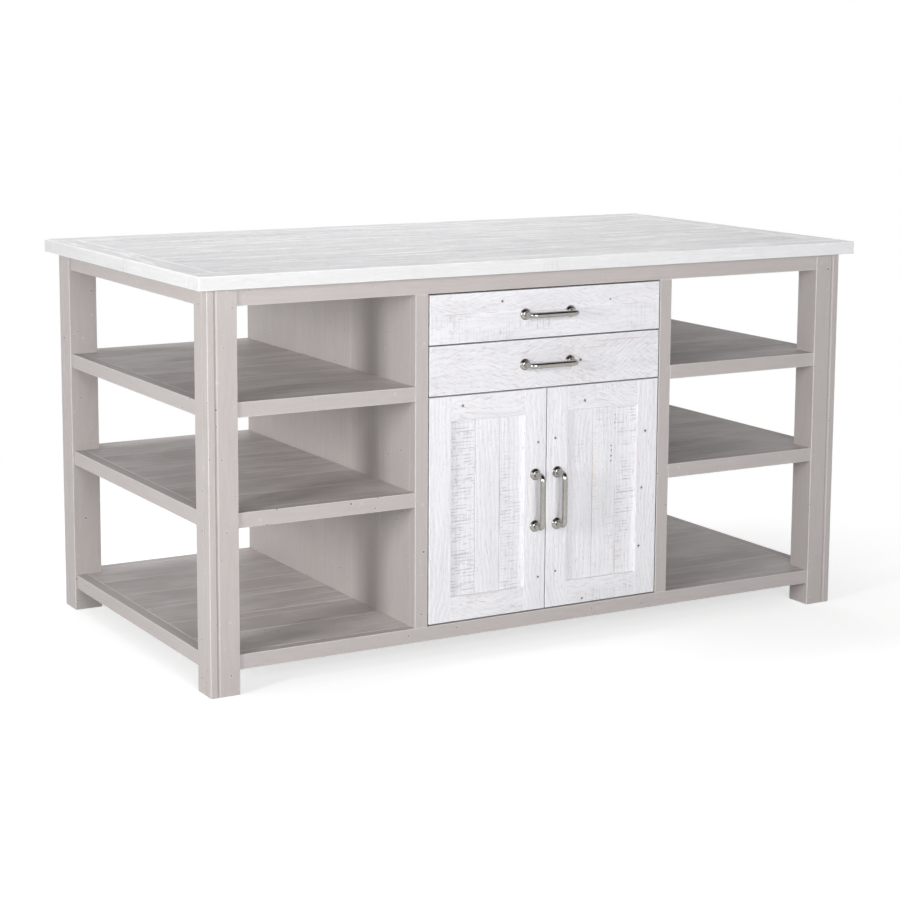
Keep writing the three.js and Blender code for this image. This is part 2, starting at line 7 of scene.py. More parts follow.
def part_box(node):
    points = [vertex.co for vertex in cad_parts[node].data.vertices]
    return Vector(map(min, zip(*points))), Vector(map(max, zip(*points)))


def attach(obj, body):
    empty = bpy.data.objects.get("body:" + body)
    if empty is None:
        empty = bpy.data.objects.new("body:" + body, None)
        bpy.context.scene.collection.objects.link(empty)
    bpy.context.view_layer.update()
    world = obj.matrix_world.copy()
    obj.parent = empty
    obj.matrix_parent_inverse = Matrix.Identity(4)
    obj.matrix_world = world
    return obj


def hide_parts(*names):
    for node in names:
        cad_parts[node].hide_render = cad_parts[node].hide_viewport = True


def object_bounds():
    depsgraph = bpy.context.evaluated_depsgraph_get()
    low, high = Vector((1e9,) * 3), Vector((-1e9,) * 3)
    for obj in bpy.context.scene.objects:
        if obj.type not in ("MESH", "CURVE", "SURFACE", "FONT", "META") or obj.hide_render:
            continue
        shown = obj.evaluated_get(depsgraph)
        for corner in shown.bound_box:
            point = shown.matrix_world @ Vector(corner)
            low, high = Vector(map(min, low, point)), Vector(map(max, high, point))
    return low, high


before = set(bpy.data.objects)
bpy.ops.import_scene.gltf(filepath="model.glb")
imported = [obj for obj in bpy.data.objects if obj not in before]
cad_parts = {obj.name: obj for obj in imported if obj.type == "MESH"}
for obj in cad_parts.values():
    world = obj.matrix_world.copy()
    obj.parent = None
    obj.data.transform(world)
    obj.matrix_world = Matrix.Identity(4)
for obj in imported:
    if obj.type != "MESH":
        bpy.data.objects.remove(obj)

cad_low, cad_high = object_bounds()


# ---- Legs ----
# Four square pine posts, planed smooth, with a V groove run down both outer faces of each.
# They are painted warm grey, stand on the floor and carry the rails, the shelves and the worktop.

MM = 0.001
# Two places are the same when they are closer than this.
NEAR = 0.01 * MM


def nothing_selected():
    if bpy.context.mode != "OBJECT":
        bpy.ops.object.mode_set(mode="OBJECT")
    bpy.ops.object.select_all(action="DESELECT")


def only(piece):
    nothing_selected()
    piece.select_set(True)
    bpy.context.view_layer.objects.active = piece


def block(name, low, high):
    """A squared length of timber between its lowest and its highest corner."""
    nothing_selected()
    low, high = Vector(low), Vector(high)
    bpy.ops.mesh.primitive_cube_add(size=1, location=(low + high) / 2, scale=high - low)
    piece = bpy.context.active_object
    piece.name = piece.data.name = name
    bpy.ops.object.transform_apply(location=True, rotation=True, scale=True)
    return piece


def bevelled(piece, width, segments=2, angle=30):
    """Takes the sharpness off every edge, as sanding does."""
    only(piece)
    bevel = piece.modifiers.new("eased", "BEVEL")
    bevel.width = width
    bevel.segments = segments
    bevel.limit_method = "ANGLE"
    bevel.angle_limit = math.radians(angle)
    bpy.ops.object.modifier_apply(modifier=bevel.name)
    return piece


def cut_line(piece, point, normal):
    """Scores a line right round the piece, without parting it."""
    only(piece)
    bpy.ops.object.mode_set(mode="EDIT")
    bpy.ops.mesh.select_all(action="SELECT")
    bpy.ops.mesh.bisect(plane_co=point, plane_no=normal)
    bpy.ops.object.mode_set(mode="OBJECT")


def select_points(piece, wanted):
    """Goes into edit mode with just the points that wanted() picks."""
    only(piece)
    bpy.ops.object.mode_set(mode="EDIT")
    bpy.ops.mesh.select_mode(type="VERT")
    bpy.ops.mesh.select_all(action="DESELECT")
    bpy.ops.object.mode_set(mode="OBJECT")
    for vertex in piece.data.vertices:
        vertex.select = wanted(vertex.co)
    bpy.ops.object.mode_set(mode="EDIT")


def on_axis(axis, length):
    return [length if i == axis else 0 for i in range(3)]


def groove(piece, across, place, face, outer, inward):
    """Runs a V groove up a leg: across is the axis it is placed on, face the one it is cut into."""
    for offset in (-LEG_GROOVE_WIDTH / 2, 0, LEG_GROOVE_WIDTH / 2):
        cut_line(piece, on_axis(across, place + offset), on_axis(across, 1))
    select_points(piece, lambda co: abs(co[across] - place) < NEAR and abs(co[face] - outer) < NEAR)
    bpy.ops.transform.translate(value=on_axis(face, inward * LEG_GROOVE_DEPTH))
    bpy.ops.object.mode_set(mode="OBJECT")


# The axes of a board as (along the grain, across, across), by the way its grain runs.
GRAIN = {"X": (0, 1, 2), "Y": (1, 2, 0), "Z": (2, 0, 1)}
# Steps between the timber of one board and the next, so that no two boards show the same figure.
LOT_STEP = Vector((7.31, 3.77, 1.93))
boards_cut = 0


def mark_timber(piece, low, high, grain, sawn=0.0, worn=0.8, wild=0.3):
    """Writes on every point where it lies in its board, the board's half size and which lot it is
    from, and how sawn and worn its face is and how wild its grain. On painted boards, worn also
    sets the painted highlight along the edges."""
    global boards_cut
    boards_cut += 1
    low, high = Vector(low), Vector(high)
    middle, half = (low + high) / 2, (high - low) / 2
    order = GRAIN[grain]
    points = piece.data.vertices
    places = [(v.co - middle)[axis] for v in points for axis in order]
    same = {
        "half": [half[axis] for axis in order],
        "lot": list(LOT_STEP * boards_cut),
        "finish": [sawn, worn, wild],
    }
    piece.data.attributes.new("place", "FLOAT_VECTOR", "POINT").data.foreach_set("vector", places)
    for label, value in same.items():
        attribute = piece.data.attributes.new(label, "FLOAT_VECTOR", "POINT")
        attribute.data.foreach_set("vector", value * len(points))
    return piece


def board(low, high, grain, eased=1.0 * MM, segments=2, cuts=(), **finish):
    """One sanded board, with any blocks in cuts taken out of it."""
    piece = block("board", low, high)
    for cut_low, cut_high in cuts:
        cut_out(piece, block("cutter", cut_low, cut_high))
    bevelled(piece, eased, segments)
    return mark_timber(piece, low, high, grain, **finish)


def cut_out(piece, cutter):
    only(piece)
    cut = piece.modifiers.new("cut", "BOOLEAN")
    cut.operation = "DIFFERENCE"
    cut.solver = "EXACT"
    cut.object = cutter
    bpy.ops.object.modifier_apply(modifier=cut.name)
    bpy.data.objects.remove(cutter)


def glued(pieces):
    """Makes one piece of several boards that touch."""
    nothing_selected()
    for piece in pieces:
        piece.select_set(True)
    bpy.context.view_layer.objects.active = pieces[0]
    if len(pieces) > 1:
        bpy.ops.object.join()
    return bpy.context.active_object


def fitted(piece, node, body, material):
    """Finishes a piece and puts it in the place of its CAD node."""
    piece.name = piece.data.name = node + "_made"
    piece.data.materials.clear()
    piece.data.materials.append(material)
    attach(piece, body)
    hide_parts(node)
    return piece


# Material nodes. Every wood reads the attributes that mark_timber writes.
def put(tree, kind, inputs=None, **settings):
    """Adds a node; each input is a value, or the output that feeds it."""
    node = tree.nodes.new(kind)
    for key, value in settings.items():
        setattr(node, key, value)
    for key, value in (inputs or {}).items():
        if isinstance(value, bpy.types.NodeSocket):
            tree.links.new(value, node.inputs[key])
        else:
            node.inputs[key].default_value = value
    return node


def calc(tree, operation, *values):
    return put(tree, "ShaderNodeMath", dict(enumerate(values)), operation=operation).outputs[0]


def plus(tree, a, b):
    return calc(tree, "ADD", a, b)


def minus(tree, a, b):
    return calc(tree, "SUBTRACT", a, b)


def times(tree, a, b):
    return calc(tree, "MULTIPLY", a, b)


def either_side(tree, value, spread):
    """Turns a noise, which goes from 0 to 1, into one that goes half the spread to either side."""
    return times(tree, minus(tree, value, 0.5), spread)


def vector(tree, operation, *values, output="Vector"):
    values = dict(enumerate(values))
    return put(tree, "ShaderNodeVectorMath", values, operation=operation).outputs[output]


def measure(tree, operation, *values):
    """A length, distance or dot product, which is one number."""
    return vector(tree, operation, *values, output="Value")


def parts_of(tree, place):
    return put(tree, "ShaderNodeSeparateXYZ", {0: place}).outputs


def object_place(tree):
    return put(tree, "ShaderNodeTexCoord").outputs["Object"]


def ramp(tree, value, low, high, to_low=0.0, to_high=1.0):
    """Goes smoothly from to_low to to_high while value goes from low to high."""
    inputs = {0: value, 1: low, 2: high, 3: to_low, 4: to_high}
    return put(tree, "ShaderNodeMapRange", inputs, interpolation_type="SMOOTHSTEP").outputs[0]


def tint(tree, mask, under, over):
    node = put(tree, "ShaderNodeMix", {0: mask, 6: under, 7: over}, data_type="RGBA")
    return node.outputs[2]


def coat(tree, colour, over, mask, amount):
    """Lays another colour over the first, by so much of the mask."""
    return tint(tree, times(tree, mask, amount), colour, over)


def noise(tree, place, scale, detail, roughness=0.55):
    inputs = {0: place, "Scale": scale, "Detail": detail, "Roughness": roughness}
    return put(tree, "ShaderNodeTexNoise", inputs).outputs[0]


def grained(tree, place, along, across, detail=2.0, roughness=0.55):
    """Noise drawn out along the grain, with so many changes to the metre along and across it."""
    place = vector(tree, "MULTIPLY", place, (along, across, across))
    return noise(tree, place, 1.0, detail, roughness)


def effect(name, inputs, outputs):
    """An empty node group, with its input node and its output node."""
    tree = bpy.data.node_groups.new(name, "ShaderNodeTree")
    for label, kind in inputs:
        tree.interface.new_socket(name=label, in_out="INPUT", socket_type=kind)
    for label in outputs:
        tree.interface.new_socket(name=label, in_out="OUTPUT", socket_type="NodeSocketFloat")
    return tree, tree.nodes.new("NodeGroupInput").outputs, tree.nodes.new("NodeGroupOutput")


def give(tree, end, **values):
    for label, value in values.items():
        tree.links.new(value, end.inputs[label])


VECTOR, NUMBER = "NodeSocketVector", "NodeSocketFloat"
# In radians to the metre, which gives a growth ring every 11 mm.
RING_TURN = 560.0


def make_edge_group():
    """How near a point is to an edge of its board, with a ragged border."""
    tree, given, end = effect(
        "board edge",
        [("Place", VECTOR), ("Half", VECTOR), ("Reach", NUMBER), ("Ragged", NUMBER)],
        ["Mask"],
    )
    to_faces = vector(tree, "SUBTRACT", given["Half"], vector(tree, "ABSOLUTE", given["Place"]))
    apart = parts_of(tree, to_faces)
    # The nearest face is the one the point lies on, so the edge is as far as the second nearest.
    nearer = calc(tree, "MINIMUM", apart[0], apart[1])
    further = calc(tree, "MAXIMUM", apart[0], apart[1])
    second = calc(tree, "MAXIMUM", nearer, calc(tree, "MINIMUM", further, apart[2]))
    ragged = either_side(tree, noise(tree, given["Place"], 160.0, 3.0, 0.6), given["Ragged"])
    give(tree, end, Mask=ramp(tree, plus(tree, second, ragged), 0.0, given["Reach"], 1.0, 0.0))
    return tree


def make_figure_group():
    """The wood's fine streaks along the grain, its growth rings, and the short strokes in them.
    Wild grain swings from side to side, and its strokes open out from the middle of the board, as
    they do where a board is cut through the tree's rings."""
    tree, given, end = effect(
        "pine figure",
        [("Place", VECTOR), ("Board", VECTOR), ("Wild", NUMBER)],
        ["Streaks", "Rings", "Strokes"],
    )
    swing = grained(tree, given["Place"], 4.5, 2.5, 1.0, 0.5)
    swing = either_side(tree, swing, times(tree, given["Wild"], 0.13))
    aside = put(tree, "ShaderNodeCombineXYZ", {1: swing, 2: swing}).outputs[0]
    swung = vector(tree, "ADD", given["Place"], aside)
    streaks = grained(tree, swung, 9.0, 130.0, 6.0, 0.72)
    ripple = grained(tree, swung, 9.0, 30.0, 2.0, 0.5)
    ringed = parts_of(tree, swung)
    across = plus(tree, ringed[1], ringed[2])
    across = plus(tree, across, either_side(tree, ripple, 0.022))
    rings = calc(tree, "SINE", times(tree, across, RING_TURN))
    rings = calc(tree, "MULTIPLY_ADD", rings, 0.5, 0.5)
    in_board = parts_of(tree, given["Board"])
    from_middle = plus(tree, in_board[1], in_board[2])
    fold = plus(tree, calc(tree, "ABSOLUTE", from_middle), times(tree, swing, 0.5))
    slope = times(tree, given["Wild"], 0.42)
    opened = minus(tree, fold, times(tree, in_board[0], slope))
    lot_along = parts_of(tree, given["Place"])[0]
    fibre = {0: lot_along, 1: opened, 2: calc(tree, "SIGN", from_middle)}
    fibre = put(tree, "ShaderNodeCombineXYZ", fibre).outputs[0]
    short = grained(tree, fibre, 34.0, 350.0, 2.0, 0.5)
    strokes = ramp(tree, plus(tree, short, times(tree, rings, 0.04)), 0.56, 0.70)
    give(tree, end, Streaks=streaks, Rings=rings, Strokes=strokes)
    return tree


def make_speck_group():
    """Small round marks scattered through the wood, and the ring round each of them."""
    tree, given, end = effect(
        "specks",
        [("Place", VECTOR), ("Scale", NUMBER), ("Size", NUMBER), ("Keep", NUMBER)],
        ["Core", "Halo"],
    )
    cells = put(tree, "ShaderNodeTexVoronoi", {0: given["Place"], "Scale": given["Scale"]})
    share = put(tree, "ShaderNodeSeparateColor", {0: cells.outputs["Color"]}).outputs
    kept = calc(tree, "LESS_THAN", share[0], given["Keep"])
    rough = either_side(tree, noise(tree, given["Place"], 900.0, 1.0), 0.5)
    size = times(tree, given["Size"], given["Scale"])
    across = plus(tree, calc(tree, "DIVIDE", cells.outputs["Distance"], size), rough)
    # Each mark has a size of its own, from half to the full size.
    across = calc(tree, "DIVIDE", across, ramp(tree, share[1], 0.0, 1.0, 0.5, 1.0))
    core = times(tree, ramp(tree, across, 0.35, 0.6, 1.0, 0.0), kept)
    halo = times(tree, ramp(tree, across, 0.4, 1.3, 1.0, 0.0), kept)
    give(tree, end, Core=core, Halo=halo)
    return tree


board_edge = make_edge_group()
pine_figure = make_figure_group()
specks = make_speck_group()


def apply_effect(tree, group, **inputs):
    return put(tree, "ShaderNodeGroup", inputs, node_tree=group).outputs


def near_edge(tree, place, half, reach, ragged):
    inputs = {"Place": place, "Half": half, "Reach": reach, "Ragged": ragged}
    return apply_effect(tree, board_edge, **inputs)["Mask"]


def new_material(name):
    material = bpy.data.materials.new(name)
    material.use_nodes = True
    return material, material.node_tree, material.node_tree.nodes["Principled BSDF"]


def timber(tree):
    """What mark_timber wrote: place in the board, half size, place in the whole lot and finish.
    The last is the wood's figure there."""
    read = lambda label: put(tree, "ShaderNodeAttribute", attribute_name=label).outputs["Vector"]
    place = read("place")
    finish = parts_of(tree, read("finish"))
    lot = vector(tree, "ADD", place, read("lot"))
    figure = apply_effect(tree, pine_figure, Place=lot, Board=place, Wild=finish[2])
    return place, read("half"), lot, finish, figure


def feed(tree, shader, colour, roughness, height, depth):
    """Wires a finish's colour, roughness and relief to its shader. The depth is in metres."""
    tree.links.new(colour, shader.inputs["Base Color"])
    tree.links.new(roughness, shader.inputs["Roughness"])
    bump = put(tree, "ShaderNodeBump", {"Strength": 1.0, "Distance": depth, "Height": height})
    tree.links.new(bump.outputs[0], shader.inputs["Normal"])


# Warm grey paint, brushed on along the grain, a touch lighter where the edges are rubbed and with a
# painted highlight along the eased edges.
TAUPE = (0.492, 0.453, 0.440, 1)
TAUPE_DEEP = (0.464, 0.427, 0.415, 1)
TAUPE_WORN_AND_HIGHLIT = (0.690, 0.655, 0.645, 1)
NAIL_HOLE = (0.050, 0.045, 0.042, 1)


def make_painted_taupe():
    material, tree, shader = new_material("painted taupe")
    place, half, lot, finish, figure = timber(tree)
    cloudy = grained(tree, lot, 2.5, 9.0, 3.0)
    colour = tint(tree, ramp(tree, figure["Streaks"], 0.38, 0.62), TAUPE_DEEP, TAUPE)
    colour = tint(tree, ramp(tree, cloudy, 0.35, 0.65, 0.0, 0.25), colour, TAUPE_DEEP)
    # Flat boards show dragged brush strokes and patches rubbed pale by use; where they are
    # strongest, on the shelves and the floor, their paleness is partly painted light for the bays'
    # dim insides.
    strokes = ramp(tree, grained(tree, lot, 2.6, 85.0, 4.0, 0.65), 0.55, 0.67)
    strokes = times(tree, strokes, finish[0])
    colour = coat(tree, colour, TAUPE_WORN_AND_HIGHLIT, strokes, 0.65)
    patches = ramp(tree, grained(tree, lot, 6.0, 13.0, 3.0), 0.42, 0.64)
    patches = times(tree, patches, finish[0])
    colour = coat(tree, colour, TAUPE_WORN_AND_HIGHLIT, patches, 0.40)
    scuffs = ramp(tree, grained(tree, lot, 70.0, 190.0), 0.70, 0.76)
    colour = coat(tree, colour, TAUPE_WORN_AND_HIGHLIT, scuffs, 0.4)
    # Edges are paler: paint rubbed off, and a painted highlight along the eased arrises.
    reach = calc(tree, "MULTIPLY_ADD", finish[0], 3.6 * MM, 2.4 * MM)
    rubbed = near_edge(tree, place, half, reach, 2.0 * MM)
    colour = coat(tree, colour, TAUPE_WORN_AND_HIGHLIT, rubbed, finish[1])
    nails = apply_effect(tree, specks, Place=lot, Scale=42.0, Size=4.4 * MM, Keep=0.9)
    # The pale ring round each nail hole is a painted highlight on its rim.
    colour = coat(tree, colour, TAUPE_WORN_AND_HIGHLIT, nails["Halo"], 0.45)
    colour = coat(tree, colour, NAIL_HOLE, nails["Core"], 0.85)
    roughness = ramp(tree, cloudy, 0.3, 0.7, 0.62, 0.48)
    height = plus(tree, figure["Streaks"], times(tree, strokes, 0.5))
    height = minus(tree, height, times(tree, nails["Core"], 3.0))
    feed(tree, shader, colour, roughness, height, 0.35 * MM)
    return material


painted_taupe = make_painted_taupe()


def painted(piece, node):
    return fitted(piece, node, "carcass", painted_taupe)


LEG_GROOVE_WIDTH = 7 * MM
LEG_GROOVE_DEPTH = 3.5 * MM
LEG_GROOVE_FROM_CORNER_X = 19 * MM
LEG_GROOVE_FROM_CORNER_Y = 26 * MM
LEG_EASED = 1.4 * MM

for end in ("front", "back"):
    for side in ("left", "right"):
        node = f"leg_{end}_{side}"
        low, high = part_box(node)
        outer_x, in_x = (low.x, 1) if side == "left" else (high.x, -1)
        outer_y, in_y = (low.y, 1) if end == "front" else (high.y, -1)
        leg = block(node + "_made", low, high)
        groove(leg, 0, outer_x + in_x * LEG_GROOVE_FROM_CORNER_X, 1, outer_y, in_y)
        groove(leg, 1, outer_y + in_y * LEG_GROOVE_FROM_CORNER_Y, 0, outer_x, in_x)
        bevelled(leg, LEG_EASED, 3)
        mark_timber(leg, low, high, "Z")
        painted(leg, node)


# ---- Rails ----
# Pine rails join the legs at the top and near the floor, set back a few millimetres from the legs'
# faces. They are doweled between the legs and painted with them.

RAIL_EASED = 1.2 * MM
for level in ("top", "bottom"):
    for place, grain in (("front", "X"), ("back", "X"), ("left", "Y"), ("right", "Y")):
        node = f"{level}_rail_{place}"
        low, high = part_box(node)
        painted(board(low, high, grain, RAIL_EASED), node)


# ---- Floor and shelves ----
# Each is glued up from six planks that lie lengthwise, their long edges eased so that the seams
# show. The shelves have a deeper lipping at the front, the back and the end. All are painted.

FIT = 0.3 * MM
SHELF_PLANKS = 6
LIPPING = 26 * MM
SHELF_BOARD_THICKNESS = 20 * MM
# The shelves and the floor take the most pale strokes and patches, partly as painted light that
# brightens the insides of the bays.
SHELF_FINISH_AND_PAINTED_LIGHT = {"sawn": 1.0, "worn": 0.66}
ROOM = Vector((FIT, FIT, FIT))
# The room that boards leave round the legs.
leg_notches = []
for end in ("front", "back"):
    for side in ("left", "right"):
        low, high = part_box(f"leg_{end}_{side}")
        leg_notches.append((low - ROOM, high + ROOM))


def meets(cut, low, high):
    return all(cut[0][i] < high[i] and cut[1][i] > low[i] for i in (0, 1))


def planked(low, high, count, across, grain, cuts=(), **finish):
    """Planks side by side; across is the axis that they are laid along. Each cut is taken out of
    the planks that it meets."""
    planks = []
    width = (high[across] - low[across]) / count
    for i in range(count):
        plank_low, plank_high = Vector(low), Vector(high)
        plank_low[across] = low[across] + i * width
        plank_high[across] = low[across] + (i + 1) * width
        met = [cut for cut in cuts if meets(cut, plank_low, plank_high)]
        planks.append(board(plank_low, plank_high, grain, cuts=met, **finish))
    return planks


floor_low, floor_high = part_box("floor_panel")
floor_planks = planked(floor_low, floor_high, SHELF_PLANKS, 1, "X", leg_notches, **SHELF_FINISH_AND_PAINTED_LIGHT)
painted(glued(floor_planks), "floor_panel")

for side, sign in (("left", -1), ("right", 1)):
    leg_low, leg_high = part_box(f"leg_front_{side}")
    back_leg_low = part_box(f"leg_back_{side}")[0]
    leg_face = leg_high.x if side == "left" else leg_low.x
    for level in ("lower", "upper"):
        node = f"shelf_{side}_{level}"
        low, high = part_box(node)
        inner_x, outer_x = (high.x, low.x) if side == "left" else (low.x, high.x)
        end_x = outer_x - sign * LIPPING
        plank_low = Vector((min(inner_x, end_x), low.y + LIPPING, high.z - SHELF_BOARD_THICKNESS))
        plank_high = Vector((max(inner_x, end_x), high.y - LIPPING, high.z))
        boards = planked(plank_low, plank_high, SHELF_PLANKS, 1, "X", leg_notches, **SHELF_FINISH_AND_PAINTED_LIGHT)
        lippings = (
            ((inner_x, leg_face), (low.y, low.y + LIPPING), "X"),
            ((inner_x, leg_face), (high.y - LIPPING, high.y), "X"),
            ((end_x, outer_x), (leg_high.y, back_leg_low.y), "Y"),
        )
        for x, y, grain in lippings:
            boards.append(board((min(x), y[0], low.z), (max(x), y[1], high.z), grain, RAIL_EASED))
        painted(glued(boards), node)


# ---- Cabinet walls ----
# Two front posts, two side walls of upright boards and a back of upright planks make the cabinet
# between the shelves. The walls stand on the floor and are painted like the frame.

WALL_BOARDS = 6
WALL_EASED = 0.4 * MM
BACK_PLANKS = 6

for side in ("left", "right"):
    low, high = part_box(f"post_{side}")
    painted(board(low, high, "Z", RAIL_EASED), f"post_{side}")

rail_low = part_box("top_rail_back")[0]
for side in ("left", "right"):
    node = f"partition_{side}"
    low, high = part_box(node)
    notch = ((low.x - FIT, rail_low.y, rail_low.z), high + ROOM)
    boards = planked(
        low, high, WALL_BOARDS, 1, "Z", [notch], eased=WALL_EASED, segments=1, sawn=0.12, worn=0.15
    )
    painted(glued(boards), node)

low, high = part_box("cabinet_back")
painted(glued(planked(low, high, BACK_PLANKS, 0, "Z", sawn=0.4)), "cabinet_back")


# ---- Inside of the cabinet ----
# A divider between drawers and cupboard, the cupboard's shelf and the drawers' wooden runners, all
# of planed pine under clear lacquer. The runners are screwed to the side walls.

PINE = (0.655, 0.455, 0.252, 1)
PINE_LATE = (0.500, 0.300, 0.140, 1)
PINE_PALE = (0.760, 0.580, 0.360, 1)
PINE_KNOT = (0.160, 0.070, 0.030, 1)


def make_bare_pine():
    material, tree, shader = new_material("bare pine")
    place, half, lot, finish, figure = timber(tree)
    cloudy = grained(tree, lot, 2.0, 12.0, 3.0)
    colour = tint(tree, ramp(tree, cloudy, 0.35, 0.65), PINE, PINE_PALE)
    colour = tint(tree, ramp(tree, figure["Rings"], 0.45, 1.0, 0.0, 0.36), colour, PINE_LATE)
    colour = tint(tree, ramp(tree, figure["Streaks"], 0.5, 0.85, 0.0, 0.5), colour, PINE_LATE)
    knots = apply_effect(tree, specks, Place=lot, Scale=9.0, Size=11.0 * MM, Keep=0.3)
    colour = coat(tree, colour, PINE_LATE, knots["Halo"], 0.6)
    colour = coat(tree, colour, PINE_KNOT, knots["Core"], 0.85)
    worn = near_edge(tree, place, half, 2.0 * MM, 1.5 * MM)
    colour = coat(tree, colour, PINE_PALE, worn, 0.35)
    roughness = ramp(tree, figure["Streaks"], 0.3, 0.7, 0.5, 0.38)
    feed(tree, shader, colour, roughness, figure["Streaks"], 0.1 * MM)
    return material


bare_pine = make_bare_pine()
BOX_EASED = 0.8 * MM

for node in ("drawer_divider", "cupboard_shelf"):
    low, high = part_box(node)
    fitted(board(low, high, "X"), node, "carcass", bare_pine)
for level in ("upper", "lower"):
    for side in ("left", "right"):
        node = f"runner_{level}_{side}"
        low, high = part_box(node)
        fitted(board(low, high, "Y", BOX_EASED), node, "carcass", bare_pine)


# ---- Worktop ----
# Six rough-sawn pine planks framed by four border boards, glued up and laid on the frame. The wood
# has a thin white wash that leaves the saw marks, the streaks and small knots showing.

WASH = (0.748, 0.750, 0.764, 1)
WASH_DEEP = (0.706, 0.709, 0.724, 1)
WASH_THICK = (0.945, 0.945, 0.950, 1)
BARE_STREAK = (0.560, 0.420, 0.345, 1)
SAW_GREY = (0.300, 0.305, 0.325, 1)
KNOT_DARK = (0.060, 0.048, 0.040, 1)
SAW_STROKE = 7.5 * MM


def make_saw_group():
    """The lines that a coarse saw leaves across the grain, in patches, and the odd deeper score."""
    tree, given, end = effect(
        "saw marks", [("Place", VECTOR), ("Cover", NUMBER)], ["Lines", "Scores", "Relief"]
    )
    place = given["Place"]
    patch = grained(tree, place, 6.0, 15.0)
    patch = ramp(tree, plus(tree, patch, given["Cover"]), 0.85, 1.15)
    teeth = grained(tree, place, 230.0, 9.0)
    broken = ramp(tree, noise(tree, place, 75.0, 2.0), 0.40, 0.56)
    lines = times(tree, times(tree, ramp(tree, teeth, 0.50, 0.62), patch), broken)
    # The blade's stroke leaves its deeper scores at nearly even steps.
    along = parts_of(tree, place)[0]
    wander = grained(tree, place, 16.0, 2.5)
    steps = calc(tree, "MULTIPLY_ADD", along, 2 * math.pi / SAW_STROKE, times(tree, wander, 8.0))
    steps = ramp(tree, calc(tree, "SINE", steps), 0.82, 1.0)
    dashes = ramp(tree, grained(tree, place, 150.0, 30.0), 0.46, 0.58)
    scores = times(tree, times(tree, steps, dashes), calc(tree, "POWER", patch, 2.0))
    give(tree, end, Lines=lines, Scores=scores, Relief=times(tree, teeth, patch))
    return tree


saw_marks = make_saw_group()


def fan_of_grain(tree, at, middle, radius):
    """Strokes that open out from a knot."""
    off = vector(tree, "SUBTRACT", at, middle)
    apart = parts_of(tree, off)
    turned = times(tree, calc(tree, "ARCTAN2", apart[2], apart[0]), 5.0)
    away = measure(tree, "LENGTH", off)
    rays = put(tree, "ShaderNodeCombineXYZ", {0: turned, 1: times(tree, away, 30.0)}).outputs[0]
    rays = ramp(tree, noise(tree, rays, 1.0, 2.0), 0.50, 0.66)
    return times(tree, rays, ramp(tree, away, radius * 0.1, radius, 0.40, 0.0))


# A soft-edged box of bare wood's colour: a rubbed patch, or, where it is thin, a painted shadow
# line.
def rub_and_shadow_patch(tree, at, middle, half_size, ragged):
    off = vector(tree, "ABSOLUTE", vector(tree, "SUBTRACT", at, middle))
    apart = parts_of(tree, vector(tree, "DIVIDE", off, half_size))
    off = calc(tree, "MAXIMUM", calc(tree, "MAXIMUM", apart[0], apart[1]), apart[2])
    return ramp(tree, plus(tree, off, ragged), 0.5, 1.1, 0.50, 0.0)


